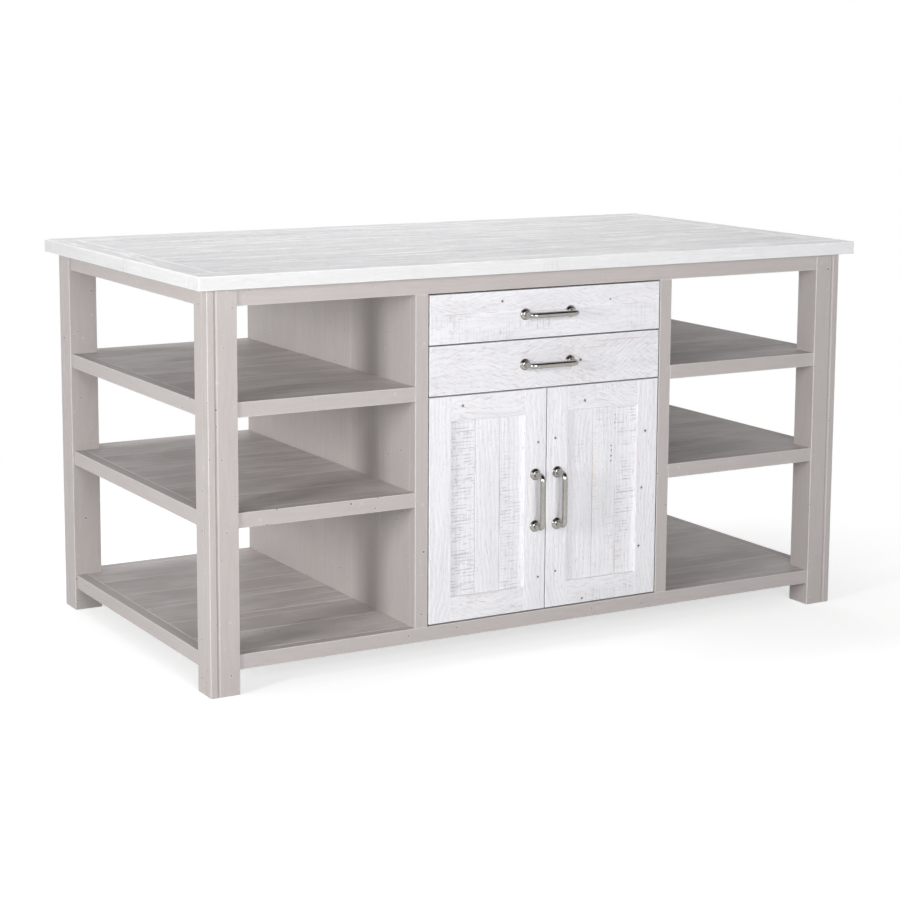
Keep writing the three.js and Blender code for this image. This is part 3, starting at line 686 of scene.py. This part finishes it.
def make_whitewashed(
    name, wash, deep, thick, relief, edge_reach, ridged=0.0, side=None, knots=(), rubs_and_shadows=(), flares=()
):
    """ridged is how far the wash stands in ridges along the grain, their crests painted pale as
    painted highlight and their hollows grey as painted shade. side the colours of a worktop's edge
    at its left and its right end, a whiter wash that is paler still at the right as painted light
    for the weaker lamp light there. knots are the places and radii of the knots that this piece is
    known by, rubs the places and half sizes of its bare patches and of any painted shadow lines,
    and flares the knots that the grain fans out from."""
    material, tree, shader = new_material(name)
    place, half, lot, finish, figure = timber(tree)
    cloudy = grained(tree, lot, 3.0, 26.0, 3.0)
    colour = tint(tree, ramp(tree, cloudy, 0.36, 0.64), deep, wash)
    colour = tint(tree, ramp(tree, figure["Streaks"], 0.50, 0.72, 0.0, 0.8), colour, thick)
    ridges = grained(tree, lot, 5.5, 62.0, 5.0, 0.68)
    # Ridges along the grain: crests painted pale as painted highlight, hollows grey as painted
    # shade.
    colour = tint(tree, ramp(tree, ridges, 0.570, 0.605, 0.0, ridged), colour, thick)
    colour = tint(tree, ramp(tree, ridges, 0.36, 0.42, ridged * 0.17, 0.0), colour, SAW_GREY)
    at = object_place(tree)
    on_top = 1.0
    if side:
        x_y_z = parts_of(tree, at)
        below = ramp(tree, x_y_z[2], TOP_FACE - 2.0 * MM, TOP_FACE - 0.8 * MM, 1.0, 0.0)
        on_top = ramp(tree, below, 0.0, 1.0, 1.0, 0.2)
        # The edge runs from the left end's colour to the right end's; the right end's extra
        # paleness is painted light.
        edge_wash_and_light = tint(tree, ramp(tree, x_y_z[0], cad_low.x, cad_high.x), *side)
        colour = coat(tree, colour, edge_wash_and_light, below, 0.8)
    rings = ramp(tree, figure["Rings"], 0.70, 1.0, 0.0, 0.10)
    colour = coat(tree, colour, BARE_STREAK, rings, on_top)
    # Where the wash is rubbed thin, the wood shows as broken pinkish strokes.
    thin = plus(tree, grained(tree, lot, 9.0, 26.0, 3.0), finish[1])
    bare = times(tree, figure["Strokes"], ramp(tree, thin, 0.88, 1.18))
    colour = coat(tree, colour, BARE_STREAK, bare, 0.38)
    sawn = apply_effect(tree, saw_marks, Place=lot, Cover=finish[0])
    colour = coat(tree, colour, SAW_GREY, sawn["Lines"], 0.26)
    colour = coat(tree, colour, SAW_GREY, sawn["Scores"], 0.74)
    # Fine dark pores, in short lines along the grain.
    pores = ramp(tree, grained(tree, lot, 60.0, 380.0, 2.0, 0.6), 0.60, 0.70)
    pores = times(tree, pores, on_top)
    colour = coat(tree, colour, SAW_GREY, pores, 0.28)
    stray = apply_effect(tree, specks, Place=lot, Scale=20.0, Size=2.8 * MM, Keep=0.3)
    core, halo = stray["Core"], stray["Halo"]
    ragged = either_side(tree, noise(tree, lot, 420.0, 2.0), 1.1)
    for middle, radius in flares:
        colour = tint(tree, fan_of_grain(tree, at, middle, radius), colour, BARE_STREAK)
    for middle, radius in knots:
        away = measure(tree, "DISTANCE", at, middle)
        away = calc(tree, "MULTIPLY_ADD", away, 1 / radius, ragged)
        core = calc(tree, "MAXIMUM", core, ramp(tree, away, 0.6, 1.0, 1.0, 0.0))
        halo = calc(tree, "MAXIMUM", halo, ramp(tree, away, 0.8, 2.6, 1.0, 0.0))
    colour = coat(tree, colour, BARE_STREAK, halo, 0.2)
    colour = coat(tree, colour, KNOT_DARK, core, 0.9)
    # The wash is heaped along the edges of every board, and the paler band there is also a painted
    # highlight along the seams and the eased edges.
    seam_wash_and_highlight = near_edge(tree, place, half, edge_reach, edge_reach * 0.6)
    heaped = times(tree, ramp(tree, noise(tree, lot, 6.0, 1.0), 0.40, 0.60, 0.75, 1.0), on_top)
    colour = coat(tree, colour, thick, seam_wash_and_highlight, heaped)
    # Bare patches rubbed through the wash, and on the doors the painted shadow lines round the
    # panels.
    for middle, half_size in rubs_and_shadows:
        colour = tint(tree, rub_and_shadow_patch(tree, at, middle, half_size, ragged), colour, BARE_STREAK)
    height = plus(tree, figure["Streaks"], times(tree, sawn["Relief"], 0.8))
    height = plus(tree, height, ramp(tree, ridges, 0.4, 0.65, 0.0, ridged))
    for hollow, share in ((figure["Rings"], 0.3), (figure["Strokes"], 0.5), (sawn["Scores"], 0.6)):
        height = minus(tree, height, times(tree, hollow, share))
    height = minus(tree, height, core)
    feed(tree, shader, colour, ramp(tree, cloudy, 0.3, 0.7, 0.72, 0.6), height, relief)
    return material


TOP_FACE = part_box("top_plank_field")[1].z
TOP_RELIEF = 0.7 * MM
# How far in from a board's edges the wash is heaped and the painted highlight reaches.
TOP_HEAPED_AND_HIGHLIGHT = 6 * MM
# The worktop edge's wash at the left and at the right end; the right one is paler as painted light,
# for the weaker lamp light there.
EDGE_WASH_AND_PAINTED_LIGHT = ((0.770, 0.762, 0.765, 1), (0.885, 0.885, 0.900, 1))
worktop_pine = make_whitewashed(
    "whitewashed worktop", WASH, WASH_DEEP, WASH_THICK, TOP_RELIEF, TOP_HEAPED_AND_HIGHLIGHT,
    ridged=1.0, side=EDGE_WASH_AND_PAINTED_LIGHT,
)

TOP_PLANKS = 6
BORDER_EASED = 1.5 * MM
for place, grain in (("front", "X"), ("back", "X"), ("left_end", "Y"), ("right_end", "Y")):
    node = f"top_{place}_board"
    low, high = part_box(node)
    border = board(low, high, grain, BORDER_EASED, 3, sawn=0.35, worn=0.1)
    fitted(border, node, "carcass", worktop_pine)
low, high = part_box("top_plank_field")
planks = planked(
    low, high, TOP_PLANKS, 1, "X", leg_notches, eased=0.6 * MM, sawn=0.5, worn=0.15, wild=0.5
)
fitted(glued(planks), "top_plank_field", "carcass", worktop_pine)


# ---- Drawers ----
# Each has a slab front of rough-sawn pine under white wash on a lacquered pine box. The box's sides
# are grooved for the runners, and its bottom is let in. The upper front is glued from two boards.

FRONT_WASH = (0.825, 0.825, 0.860, 1)
FRONT_DEEP = (0.772, 0.772, 0.808, 1)
FRONT_THICK = (0.895, 0.895, 0.918, 1)
FRONT_EASED = 0.9 * MM
FRONT_RELIEF = 0.8 * MM
# How far in the heaped wash and the painted highlight reach along the fronts' edges.
FRONT_HEAPED_AND_HIGHLIGHT = 3 * MM
FRONT_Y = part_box("drawer_upper_front")[0].y


# Cuts and bare patches that go right through a piece reach this far, in metres.
THROUGH = 1


def on_front(x, z):
    return (x * MM, FRONT_Y, z * MM)


def knot(x, z, radius):
    return on_front(x, z), radius * MM


def rub(x, z, half_x, half_z):
    """A patch that is rubbed bare, with half its width and half its height."""
    return on_front(x, z), (half_x * MM, THROUGH, half_z * MM)


DRAWER_KNOTS = [knot(-120, 806, 3.0), knot(168, 795, 2.4), knot(89, 660, 4.0)]
DRAWER_RUBS = [
    rub(-230, 782.5, 48, 1.6), rub(-150, 782.5, 16, 1.0), rub(235, 782.0, 40, 0.9),
    rub(190, 701, 90, 1.2), rub(120, 687, 60, 0.9),
]
DRAWER_FLARES = [(on_front(86, 660), 75 * MM)]
drawer_pine = make_whitewashed(
    "whitewashed drawer fronts", FRONT_WASH, FRONT_DEEP, FRONT_THICK, FRONT_RELIEF, FRONT_HEAPED_AND_HIGHLIGHT,
    knots=DRAWER_KNOTS, rubs_and_shadows=DRAWER_RUBS, flares=DRAWER_FLARES,
)

UPPER_SEAM_FROM_TOP = 46 * MM
GROOVE_CLEARANCE = 0.4 * MM
THIN_EASED = 0.6 * MM

for level in ("upper", "lower"):
    body = f"drawer_{level}"
    low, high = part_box(body + "_front")
    if level == "upper":
        seam = high.z - UPPER_SEAM_FROM_TOP
        slabs = [
            board((low.x, low.y, seam), high, "X", FRONT_EASED, sawn=0.25, worn=0.5, wild=0.9),
            board(low, (high.x, high.y, seam), "X", FRONT_EASED, sawn=0.42, worn=0.4, wild=0.4),
        ]
    else:
        slabs = [board(low, high, "X", FRONT_EASED, sawn=0.3, worn=0.85, wild=1.0)]
    fitted(glued(slabs), body + "_front", body, drawer_pine)

    bottom_low, bottom_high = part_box(body + "_bottom")
    for side in ("left", "right"):
        node = f"{body}_side_{side}"
        low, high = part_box(node)
        runner_low, runner_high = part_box(f"runner_{level}_{side}")
        room = Vector((GROOVE_CLEARANCE, THROUGH, GROOVE_CLEARANCE))
        rebate_x = sorted((bottom_low.x - FIT if side == "left" else bottom_high.x + FIT, 0))
        rebate = (
            (rebate_x[0], low.y - THROUGH, low.z - THROUGH),
            (rebate_x[1], high.y + THROUGH, bottom_high.z + FIT),
        )
        cuts = [(runner_low - room, runner_high + room), rebate]
        fitted(board(low, high, "Y", BOX_EASED, cuts=cuts), node, body, bare_pine)
    for part in ("back", "bottom"):
        low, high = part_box(f"{body}_{part}")
        fitted(board(low, high, "X", THIN_EASED), f"{body}_{part}", body, bare_pine)


# ---- Doors ----
# Each door is a frame of two stiles and two rails round a recessed panel of three sawn planks, all
# under a white wash a shade paler than the drawers': painted light, making up for the weaker light
# that falls on the doors. The panel sits in a rebate cut from behind.

# Paler than the drawers' wash as painted light, making up for the weaker light on the doors.
DOOR_WASH_PAINTED_LIGHTER = (0.846, 0.845, 0.876, 1)
DOOR_DEEP_PAINTED_LIGHTER = (0.798, 0.797, 0.830, 1)
DOOR_THICK = (0.872, 0.872, 0.900, 1)
STILE = 56 * MM
# Half the width of the painted shadow line round each door panel.
PANEL_SHADOW_LINE = 1.1 * MM
REBATE = 8 * MM
PANEL_RECESS = 7 * MM
PANEL_EASED = 0.7 * MM
CUP_BORE_RADIUS = 17.7 * MM
CUP_BORE_DEPTH = 12 * MM
# How far each panel's first two seams lie from the hole's left edge.
PANEL_SEAMS = {"left": (66 * MM, 130 * MM), "right": (73 * MM, 137 * MM)}
PLANK_GAP = 0.8 * MM
# Each plank's share of saw marks, of rubbed wash and of wild grain.
PANEL_FINISH = {
    "left": ((1.1, 0.15, 0.1), (0.38, 0.35, 0.3), (0.50, 0.2, 0.1)),
    "right": ((0.36, 0.35, 0.2), (0.46, 0.25, 0.2), (0.58, 0.2, 0.1)),
}
DOOR_KNOTS = [
    knot(-220, 579, 3.4), knot(-22, 479, 3.0), knot(-19, 166, 3.0), knot(103, 565, 3.4),
    knot(24, 485, 3.0), knot(272, 480, 3.4), knot(264, 346, 3.0), knot(259, 207, 3.2),
    knot(28, 174, 2.8), knot(102, 100, 3.2),
]
# Rows of dark pin holes run down the right panel.
PIN_HOLE_RADIUS = 2.0 * MM
PANEL_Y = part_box("door_right_panel")[0].y
for x, z in (
    (193, 524), (194, 514), (192, 505), (193, 493), (182, 452), (183, 441), (182, 428), (181, 416),
):
    DOOR_KNOTS.append(((x * MM, PANEL_Y, z * MM), PIN_HOLE_RADIUS))
DOOR_RUBS_AND_SHADOWS = [
    rub(-119, 330, 1.4, 75), rub(-183, 455, 1.0, 40), rub(131, 330, 1.4, 160),
    rub(196, 190, 1.3, 45), rub(-160, 144, 50, 1.0),
]
# A thin line of the bare wood's darker colour runs where each frame drops to its panel, a painted
# shadow of the gap round the panel.
for side in ("left", "right"):
    frame_low, frame_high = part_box(f"door_{side}_frame")
    middle = (frame_low + frame_high) / 2
    half_x = (frame_high.x - frame_low.x) / 2 - STILE
    half_z = (frame_high.z - frame_low.z) / 2 - STILE
    for end in (-1, 1):
        upright = (middle.x + end * half_x, FRONT_Y, middle.z)
        level = (middle.x, FRONT_Y, middle.z + end * half_z)
        DOOR_RUBS_AND_SHADOWS.append((upright, (PANEL_SHADOW_LINE, PANEL_SHADOW_LINE, half_z)))
        DOOR_RUBS_AND_SHADOWS.append((level, (half_x, PANEL_SHADOW_LINE, PANEL_SHADOW_LINE)))
door_pine = make_whitewashed(
    "whitewashed doors", DOOR_WASH_PAINTED_LIGHTER, DOOR_DEEP_PAINTED_LIGHTER, DOOR_THICK, FRONT_RELIEF, FRONT_HEAPED_AND_HIGHLIGHT,
    knots=DOOR_KNOTS, rubs_and_shadows=DOOR_RUBS_AND_SHADOWS,
)


def round_blank(radius, length, middle, vertices=48, turn=(math.pi / 2, 0, 0)):
    """A turned piece whose axis lies along Y, unless it is given another turn."""
    nothing_selected()
    bpy.ops.mesh.primitive_cylinder_add(
        vertices=vertices, radius=radius, depth=length, location=middle, rotation=turn
    )
    bpy.ops.object.transform_apply(location=True, rotation=True, scale=True)
    return bpy.context.active_object


for side in ("left", "right"):
    body = f"door_{side}"
    low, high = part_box(body + "_frame")
    hole_low = Vector((low.x + STILE, low.y, low.z + STILE))
    hole_high = Vector((high.x - STILE, high.y, high.z - STILE))
    rebate = (
        (hole_low.x - REBATE, low.y + PANEL_RECESS, hole_low.z - REBATE),
        (hole_high.x + REBATE, high.y + THROUGH, hole_high.z + REBATE),
    )
    cups = [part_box(f"hinge_cup_{side}_{level}") for level in ("lower", "upper")]
    frame_boards = []
    for x0, x1 in ((low.x, hole_low.x), (hole_high.x, high.x)):
        stile_low, stile_high = Vector((x0, low.y, low.z)), Vector((x1, high.y, high.z))
        stile = block("board", stile_low, stile_high)
        cut_out(stile, block("cutter", *rebate))
        for cup_low, cup_high in cups:
            middle = (cup_low + cup_high) / 2
            if x0 < middle.x < x1:
                middle.y = high.y
                cut_out(stile, round_blank(CUP_BORE_RADIUS, 2 * CUP_BORE_DEPTH, middle))
        bevelled(stile, FRONT_EASED)
        mark_timber(stile, stile_low, stile_high, "Z", sawn=0.25, worn=0.4, wild=0.35)
        frame_boards.append(stile)
    for z0, z1 in ((low.z, hole_low.z), (hole_high.z, high.z)):
        rail_low, rail_high = (hole_low.x, low.y, z0), (hole_high.x, high.y, z1)
        frame_boards.append(board(
            rail_low, rail_high, "X", FRONT_EASED, cuts=[rebate], sawn=0.4, worn=0.55, wild=0.8
        ))
    fitted(glued(frame_boards), body + "_frame", body, door_pine)

    low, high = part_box(body + "_panel")
    seams = [low.x] + [hole_low.x + place for place in PANEL_SEAMS[side]] + [high.x]
    planks = []
    for x0, x1, (sawn, worn, wild) in zip(seams, seams[1:], PANEL_FINISH[side]):
        if x1 < high.x:
            x1 -= PLANK_GAP
        plank_low, plank_high = (x0, low.y, low.z), (x1, high.y, high.z)
        plank = board(plank_low, plank_high, "Z", PANEL_EASED, sawn=sawn, worn=worn, wild=wild)
        planks.append(plank)
    fitted(glued(planks), body + "_panel", body, door_pine)


# ---- Handles ----
# A round bar bent back at both ends into domed roses, brushed and nickel plated. The four are the
# same: two lie across the drawers, and two stand on the doors' inner stiles.

NICKEL = (0.420, 0.404, 0.380, 1)
NICKEL_DARK = (0.230, 0.220, 0.206, 1)
NICKEL_ROUGHNESS = 0.17
HANDLE_CENTRES = 120 * MM
BAR_RADIUS = 6.3 * MM
REACH = 34 * MM
BEND = 12 * MM
ROSE_RADIUS = 13.5 * MM
ROSE_HEIGHT = 8 * MM
ROSE_RIM = 2.5 * MM
ROSE_EASED = 0.8 * MM


def make_brushed_metal(name, bright, dark, roughness):
    material, tree, shader = new_material(name)
    place = object_place(tree)
    brushed = grained(tree, place, 260.0, 900.0, 3.0, 0.6)
    smudged = noise(tree, place, 55.0, 3.0)
    colour = tint(tree, ramp(tree, brushed, 0.3, 0.7, 0.0, 0.35), bright, dark)
    colour = tint(tree, ramp(tree, smudged, 0.5, 0.8, 0.0, 0.3), colour, dark)
    shader.inputs["Metallic"].default_value = 1.0
    smudged = ramp(tree, smudged, 0.3, 0.7, roughness - 0.06, roughness + 0.08)
    feed(tree, shader, colour, smudged, brushed, 0.02 * MM)
    return material


brushed_nickel = make_brushed_metal("brushed nickel", NICKEL, NICKEL_DARK, NICKEL_ROUGHNESS)


def smooth(piece, angle=35):
    only(piece)
    bpy.ops.object.shade_smooth_by_angle(angle=math.radians(angle))
    return piece


def make_rose(x):
    """A disc with a thin rim and a cone-shaped front, its back on y = 0, its front towards -Y."""
    rose = round_blank(ROSE_RADIUS, ROSE_HEIGHT, (x, -ROSE_HEIGHT / 2, 0))
    select_points(rose, lambda co: co.y < -ROSE_HEIGHT + NEAR)
    bpy.ops.mesh.bevel(offset=ROSE_HEIGHT - ROSE_RIM, segments=1, affect="EDGES")
    bpy.ops.object.mode_set(mode="OBJECT")
    return bevelled(rose, ROSE_EASED, 4, 20)


def quarter_bend(x):
    bpy.ops.mesh.spin(steps=10, angle=math.pi / 2, center=(x, BEND - REACH, 0), axis=(0, 0, -1))


def draw_out(*way):
    bpy.ops.mesh.extrude_region_move(TRANSFORM_OT_translate={"value": way})


def make_handle():
    """The bar is a ring drawn out, bent through a quarter turn, drawn out again, and so on."""
    half = HANDLE_CENTRES / 2
    nothing_selected()
    start = (-half, -ROSE_HEIGHT / 2, 0)
    bpy.ops.mesh.primitive_circle_add(
        vertices=32, radius=BAR_RADIUS, location=start, rotation=(math.pi / 2, 0, 0)
    )
    bar = bpy.context.active_object
    bpy.ops.object.transform_apply(location=True, rotation=True, scale=True)
    bpy.ops.object.mode_set(mode="EDIT")
    bpy.ops.mesh.select_all(action="SELECT")
    out = REACH - BEND - ROSE_HEIGHT / 2
    draw_out(0, -out, 0)
    quarter_bend(BEND - half)
    draw_out(HANDLE_CENTRES - 2 * BEND, 0, 0)
    quarter_bend(half - BEND)
    draw_out(0, out, 0)
    # The bends leave points twice and may face inwards, so both are put right.
    bpy.ops.mesh.select_all(action="SELECT")
    bpy.ops.mesh.remove_doubles(threshold=NEAR / 10)
    bpy.ops.mesh.normals_make_consistent(inside=False)
    bpy.ops.object.mode_set(mode="OBJECT")
    return smooth(glued([bar, make_rose(-half), make_rose(half)]))


def placed_copy(pattern, turn, place):
    """A copy with its own mesh, turned and set in place, its object left at the origin."""
    copy = pattern.copy()
    copy.data = pattern.data.copy()
    bpy.context.scene.collection.objects.link(copy)
    copy.data.transform(Matrix.Translation(place) @ turn)
    return copy


handle_pattern = make_handle()
lying = Matrix.Identity(4)
standing = Matrix.Rotation(math.pi / 2, 4, "Y")
for body, turn in (
    ("drawer_upper", lying), ("drawer_lower", lying),
    ("door_left", standing), ("door_right", standing),
):
    low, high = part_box(body + "_handle")
    place = Vector(((low.x + high.x) / 2, high.y, (low.z + high.z) / 2))
    handle = placed_copy(handle_pattern, turn, place)
    fitted(handle, body + "_handle", body, brushed_nickel)
bpy.data.objects.remove(handle_pattern)


# ---- Hinges ----
# Two concealed hinges on each door: a pressed steel cup let into the stile, and a cranked arm on a
# plate that two screws hold to the cabinet's side wall.

STEEL = (0.560, 0.565, 0.575, 1)
STEEL_DARK = (0.330, 0.335, 0.345, 1)
STEEL_ROUGHNESS = 0.3
hinge_steel = make_brushed_metal("hinge steel", STEEL, STEEL_DARK, STEEL_ROUGHNESS)
CUP_RADIUS = 17.5 * MM
CUP_WALL = 2 * MM
CUP_EASED = 0.3 * MM
FLANGE_THICKNESS = 1.2 * MM
ARM_WIDTH = 14 * MM
ARM_THICKNESS = 9 * MM
ARM_EASED = 1.5 * MM
NOSE_LENGTH = 14 * MM
NOSE_WIDTH = 28 * MM
# How far behind the nose's front the arm begins, and where the crank begins and ends.
ARM_START = 22.4 * MM
CRANK_START, CRANK_END = 5.6 * MM, 30.8 * MM
CRANK_LAP = 12 * MM
CRANK_WIDTH = ARM_WIDTH / 1.1
CRANK_FROM_WALL = 0.5 * MM
CRANK_EASED = 3 * MM
PLATE_THICKNESS = 4 * MM
PLATE_LENGTH = 24 * MM
PLATE_FROM_ARM_END = 26 * MM
PLATE_EASED = 1 * MM
SCREW_RADIUS = 3.4 * MM
SCREW_HEIGHT = 1.6 * MM
SCREW_STANDS_OUT = 0.6 * MM
SCREW_EASED = 0.5 * MM
# Each screw's place, as a share of the way from the plate's middle to its end.
SCREW_SHARE = 0.72


def make_cup(low, high):
    """A round blank, its middle pressed in to make the cup, and its rim left as a thin flange."""
    middle = (low + high) / 2
    flange_radius = (high.x - low.x) / 2
    flange_y = high.y - FLANGE_THICKNESS
    middle.y = high.y - FLANGE_THICKNESS / 2
    cup = round_blank(flange_radius, FLANGE_THICKNESS, middle)
    # The cup is drawn out of the flange's front face, and its hollow is pressed into the back.
    for face_y, radius, bottom_y in (
        (flange_y, CUP_RADIUS, low.y),
        (high.y, CUP_RADIUS - CUP_WALL, low.y + CUP_WALL),
    ):
        select_points(cup, lambda co: abs(co.y - face_y) < NEAR)
        bpy.ops.mesh.select_mode(type="FACE")
        bpy.ops.mesh.inset(thickness=flange_radius - radius)
        draw_out(0, bottom_y - face_y, 0)
        bpy.ops.object.mode_set(mode="OBJECT")
    return smooth(bevelled(cup, CUP_EASED))


def make_arm(low, high, sign):
    """The nose, the arm and the plate, with two screws, joined as one pressing."""
    middle_z = (low.z + high.z) / 2
    wall_x, nose_x = (high.x, low.x) if sign > 0 else (low.x, high.x)
    parts = []

    def pressed(x0, x1, y0, y1, half_z, eased, segments=2):
        part_low = (min(x0, x1), y0, middle_z - half_z)
        part_high = (max(x0, x1), y1, middle_z + half_z)
        parts.append(bevelled(block("part", part_low, part_high), eased, segments))

    nose_end = nose_x + sign * NOSE_WIDTH
    pressed(nose_x, nose_end, low.y, low.y + NOSE_LENGTH, ARM_WIDTH / 2, ARM_EASED)
    arm_x, arm_y = wall_x - sign * ARM_THICKNESS, low.y + ARM_START
    pressed(arm_x, wall_x, arm_y, high.y, ARM_WIDTH / 2, ARM_EASED)
    plate_x, plate_middle = wall_x - sign * PLATE_THICKNESS, high.y - PLATE_FROM_ARM_END
    plate_y = (plate_middle - PLATE_LENGTH / 2, plate_middle + PLATE_LENGTH / 2)
    half_plate = (high.z - low.z) / 2
    pressed(plate_x, wall_x, *plate_y, half_plate, PLATE_EASED)
    # The crank laps over the nose and the arm.
    crank_x = (nose_end - sign * CRANK_LAP, wall_x - sign * CRANK_FROM_WALL)
    crank_y = (low.y + CRANK_START, low.y + CRANK_END)
    pressed(*crank_x, *crank_y, CRANK_WIDTH / 2, CRANK_EASED, 4)
    for end in (-1, 1):
        screw_z = middle_z + end * half_plate * SCREW_SHARE
        place = (plate_x - sign * SCREW_STANDS_OUT, plate_middle, screw_z)
        screw = round_blank(SCREW_RADIUS, SCREW_HEIGHT, place, 24, (0, math.pi / 2, 0))
        parts.append(bevelled(screw, SCREW_EASED))
    return smooth(glued(parts))


for side, sign in (("left", -1), ("right", 1)):
    for level in ("lower", "upper"):
        cup = make_cup(*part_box(f"hinge_cup_{side}_{level}"))
        fitted(cup, f"hinge_cup_{side}_{level}", f"door_{side}", hinge_steel)
        arm = make_arm(*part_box(f"hinge_arm_{side}_{level}"), sign)
        fitted(arm, f"hinge_arm_{side}_{level}", "carcass", hinge_steel)


# ---- Studio ----
# A white floor that runs into a white surround, soft lamps from the front left and the left end, a
# dark ceiling that only shows in the metal, and a camera at the front left, above the worktop.

FLOOR_GREY = 0.60
FLOOR_RADIUS = 9
FLOOR_GLOW = 0.62
FLOOR_WHITE_FROM, FLOOR_WHITE_TO = 1.3, 2.3
BRIGHT_SIDE = (-0.5, 0.85, 0)
BRIGHT_WALL, DIM_WALL, CEILING_SHARE = 0.90, 0.16, 0.40
CEILING_LOW, CEILING_HIGH = (-3.1, -3.9, 2.60), (3.9, 0.7, 2.62)
CEILING_GREY = 0.03


def seen_directly(tree):
    """1 for what the camera sees, straight or in metal or glass, and 0 for light on the unit."""
    path = put(tree, "ShaderNodeLightPath").outputs
    seen = calc(tree, "MAXIMUM", path["Is Camera Ray"], path["Is Glossy Ray"])
    return calc(tree, "MAXIMUM", seen, path["Is Transmission Ray"])


def matt_grey(name, grey):
    material, tree, shader = new_material(name)
    shader.inputs["Base Color"].default_value = (grey, grey, grey, 1)
    shader.inputs["Roughness"].default_value = 1.0
    return material, tree, shader


def studio_floor():
    """Matt white, lit by the lamps near the unit, and plain white to the eye further out."""
    nothing_selected()
    bpy.ops.mesh.primitive_circle_add(vertices=96, radius=FLOOR_RADIUS, fill_type="NGON")
    floor = bpy.context.active_object
    floor.name = "studio_floor"
    material, tree, shader = matt_grey("studio floor", FLOOR_GREY)
    shader.inputs["Specular IOR Level"].default_value = 0.0
    shader.inputs["Emission Color"].default_value = (1, 1, 1, 1)
    seen = seen_directly(tree)
    tree.links.new(times(tree, seen, FLOOR_GLOW), shader.inputs["Emission Strength"])
    out = measure(tree, "LENGTH", object_place(tree))
    far = times(tree, ramp(tree, out, FLOOR_WHITE_FROM, FLOOR_WHITE_TO), seen)
    white = put(tree, "ShaderNodeEmission", {"Strength": 1.0})
    both = put(tree, "ShaderNodeMixShader", {0: far, 1: shader.outputs[0], 2: white.outputs[0]})
    tree.links.new(both.outputs[0], tree.nodes["Material Output"].inputs["Surface"])
    floor.data.materials.append(material)


def surround():
    """White to the eye. Its light is bright from behind and the left, and dim from elsewhere."""
    world = bpy.data.worlds.new("surround")
    bpy.context.scene.world = world
    world.use_nodes = True
    tree = world.node_tree
    background = tree.nodes["Background"]
    background.inputs["Color"].default_value = (1, 1, 1, 1)
    out = put(tree, "ShaderNodeTexCoord").outputs["Generated"]
    bright = measure(tree, "DOT_PRODUCT", out, BRIGHT_SIDE)
    light = ramp(tree, bright, -0.8, 0.5, DIM_WALL, BRIGHT_WALL)
    light = times(tree, light, ramp(tree, parts_of(tree, out)[2], 0.1, 0.8, 1.0, CEILING_SHARE))
    strength = {0: seen_directly(tree), 2: light, 3: 1.0}
    strength = put(tree, "ShaderNodeMix", strength, data_type="FLOAT").outputs[0]
    tree.links.new(strength, background.inputs["Strength"])


def dark_ceiling():
    """Hangs over the unit and in front of it. It shows in the nickel, and is unseen otherwise."""
    ceiling = block("dark_ceiling", CEILING_LOW, CEILING_HIGH)
    ceiling.data.materials.append(matt_grey("dark ceiling", CEILING_GREY)[0])
    ceiling.visible_camera = ceiling.visible_diffuse = False
    ceiling.visible_transmission = ceiling.visible_shadow = False


def soft_lamp(name, place, aim, width, height, power):
    lamp = bpy.data.lights.new(name, "AREA")
    lamp.shape = "RECTANGLE"
    lamp.size, lamp.size_y, lamp.energy = width, height, power
    holder = bpy.data.objects.new(name, lamp)
    bpy.context.scene.collection.objects.link(holder)
    holder.location = place
    holder.rotation_euler = (Vector(aim) - Vector(place)).to_track_quat("-Z", "Y").to_euler()


studio_floor()
surround()
dark_ceiling()
soft_lamp("front lamp", (-1.05, -4.5, 1.5), (0.05, 0, 0.45), 2.2, 1.6, 118)
soft_lamp("left lamp", (-3.9, -1.6, 1.15), (-0.5, 0, 0.5), 0.5, 1.1, 70)
soft_lamp("top lamp", (0, 0.9, 3.3), (0, 0.1, 0.9), 2.6, 1.2, 46)

CAMERA_PLACE = (-2.5858, -4.4919, 1.3871)
YAW, PITCH, ROLL = math.radians(29.876), math.radians(8.547), math.radians(0.301)
camera_data = bpy.data.cameras.new("camera")
camera_data.sensor_width = 36
camera_data.lens = 86.2
camera_data.shift_y = -0.1
camera = bpy.data.objects.new("camera", camera_data)
bpy.context.scene.collection.objects.link(camera)
camera.location = CAMERA_PLACE
turn = Matrix.Rotation(-YAW, 4, "Z") @ Matrix.Rotation(math.pi / 2 - PITCH, 4, "X")
camera.rotation_euler = (turn @ Matrix.Rotation(ROLL, 4, "Z")).to_euler()
bpy.context.scene.camera = camera
bpy.context.scene.view_settings.view_transform = "Standard"
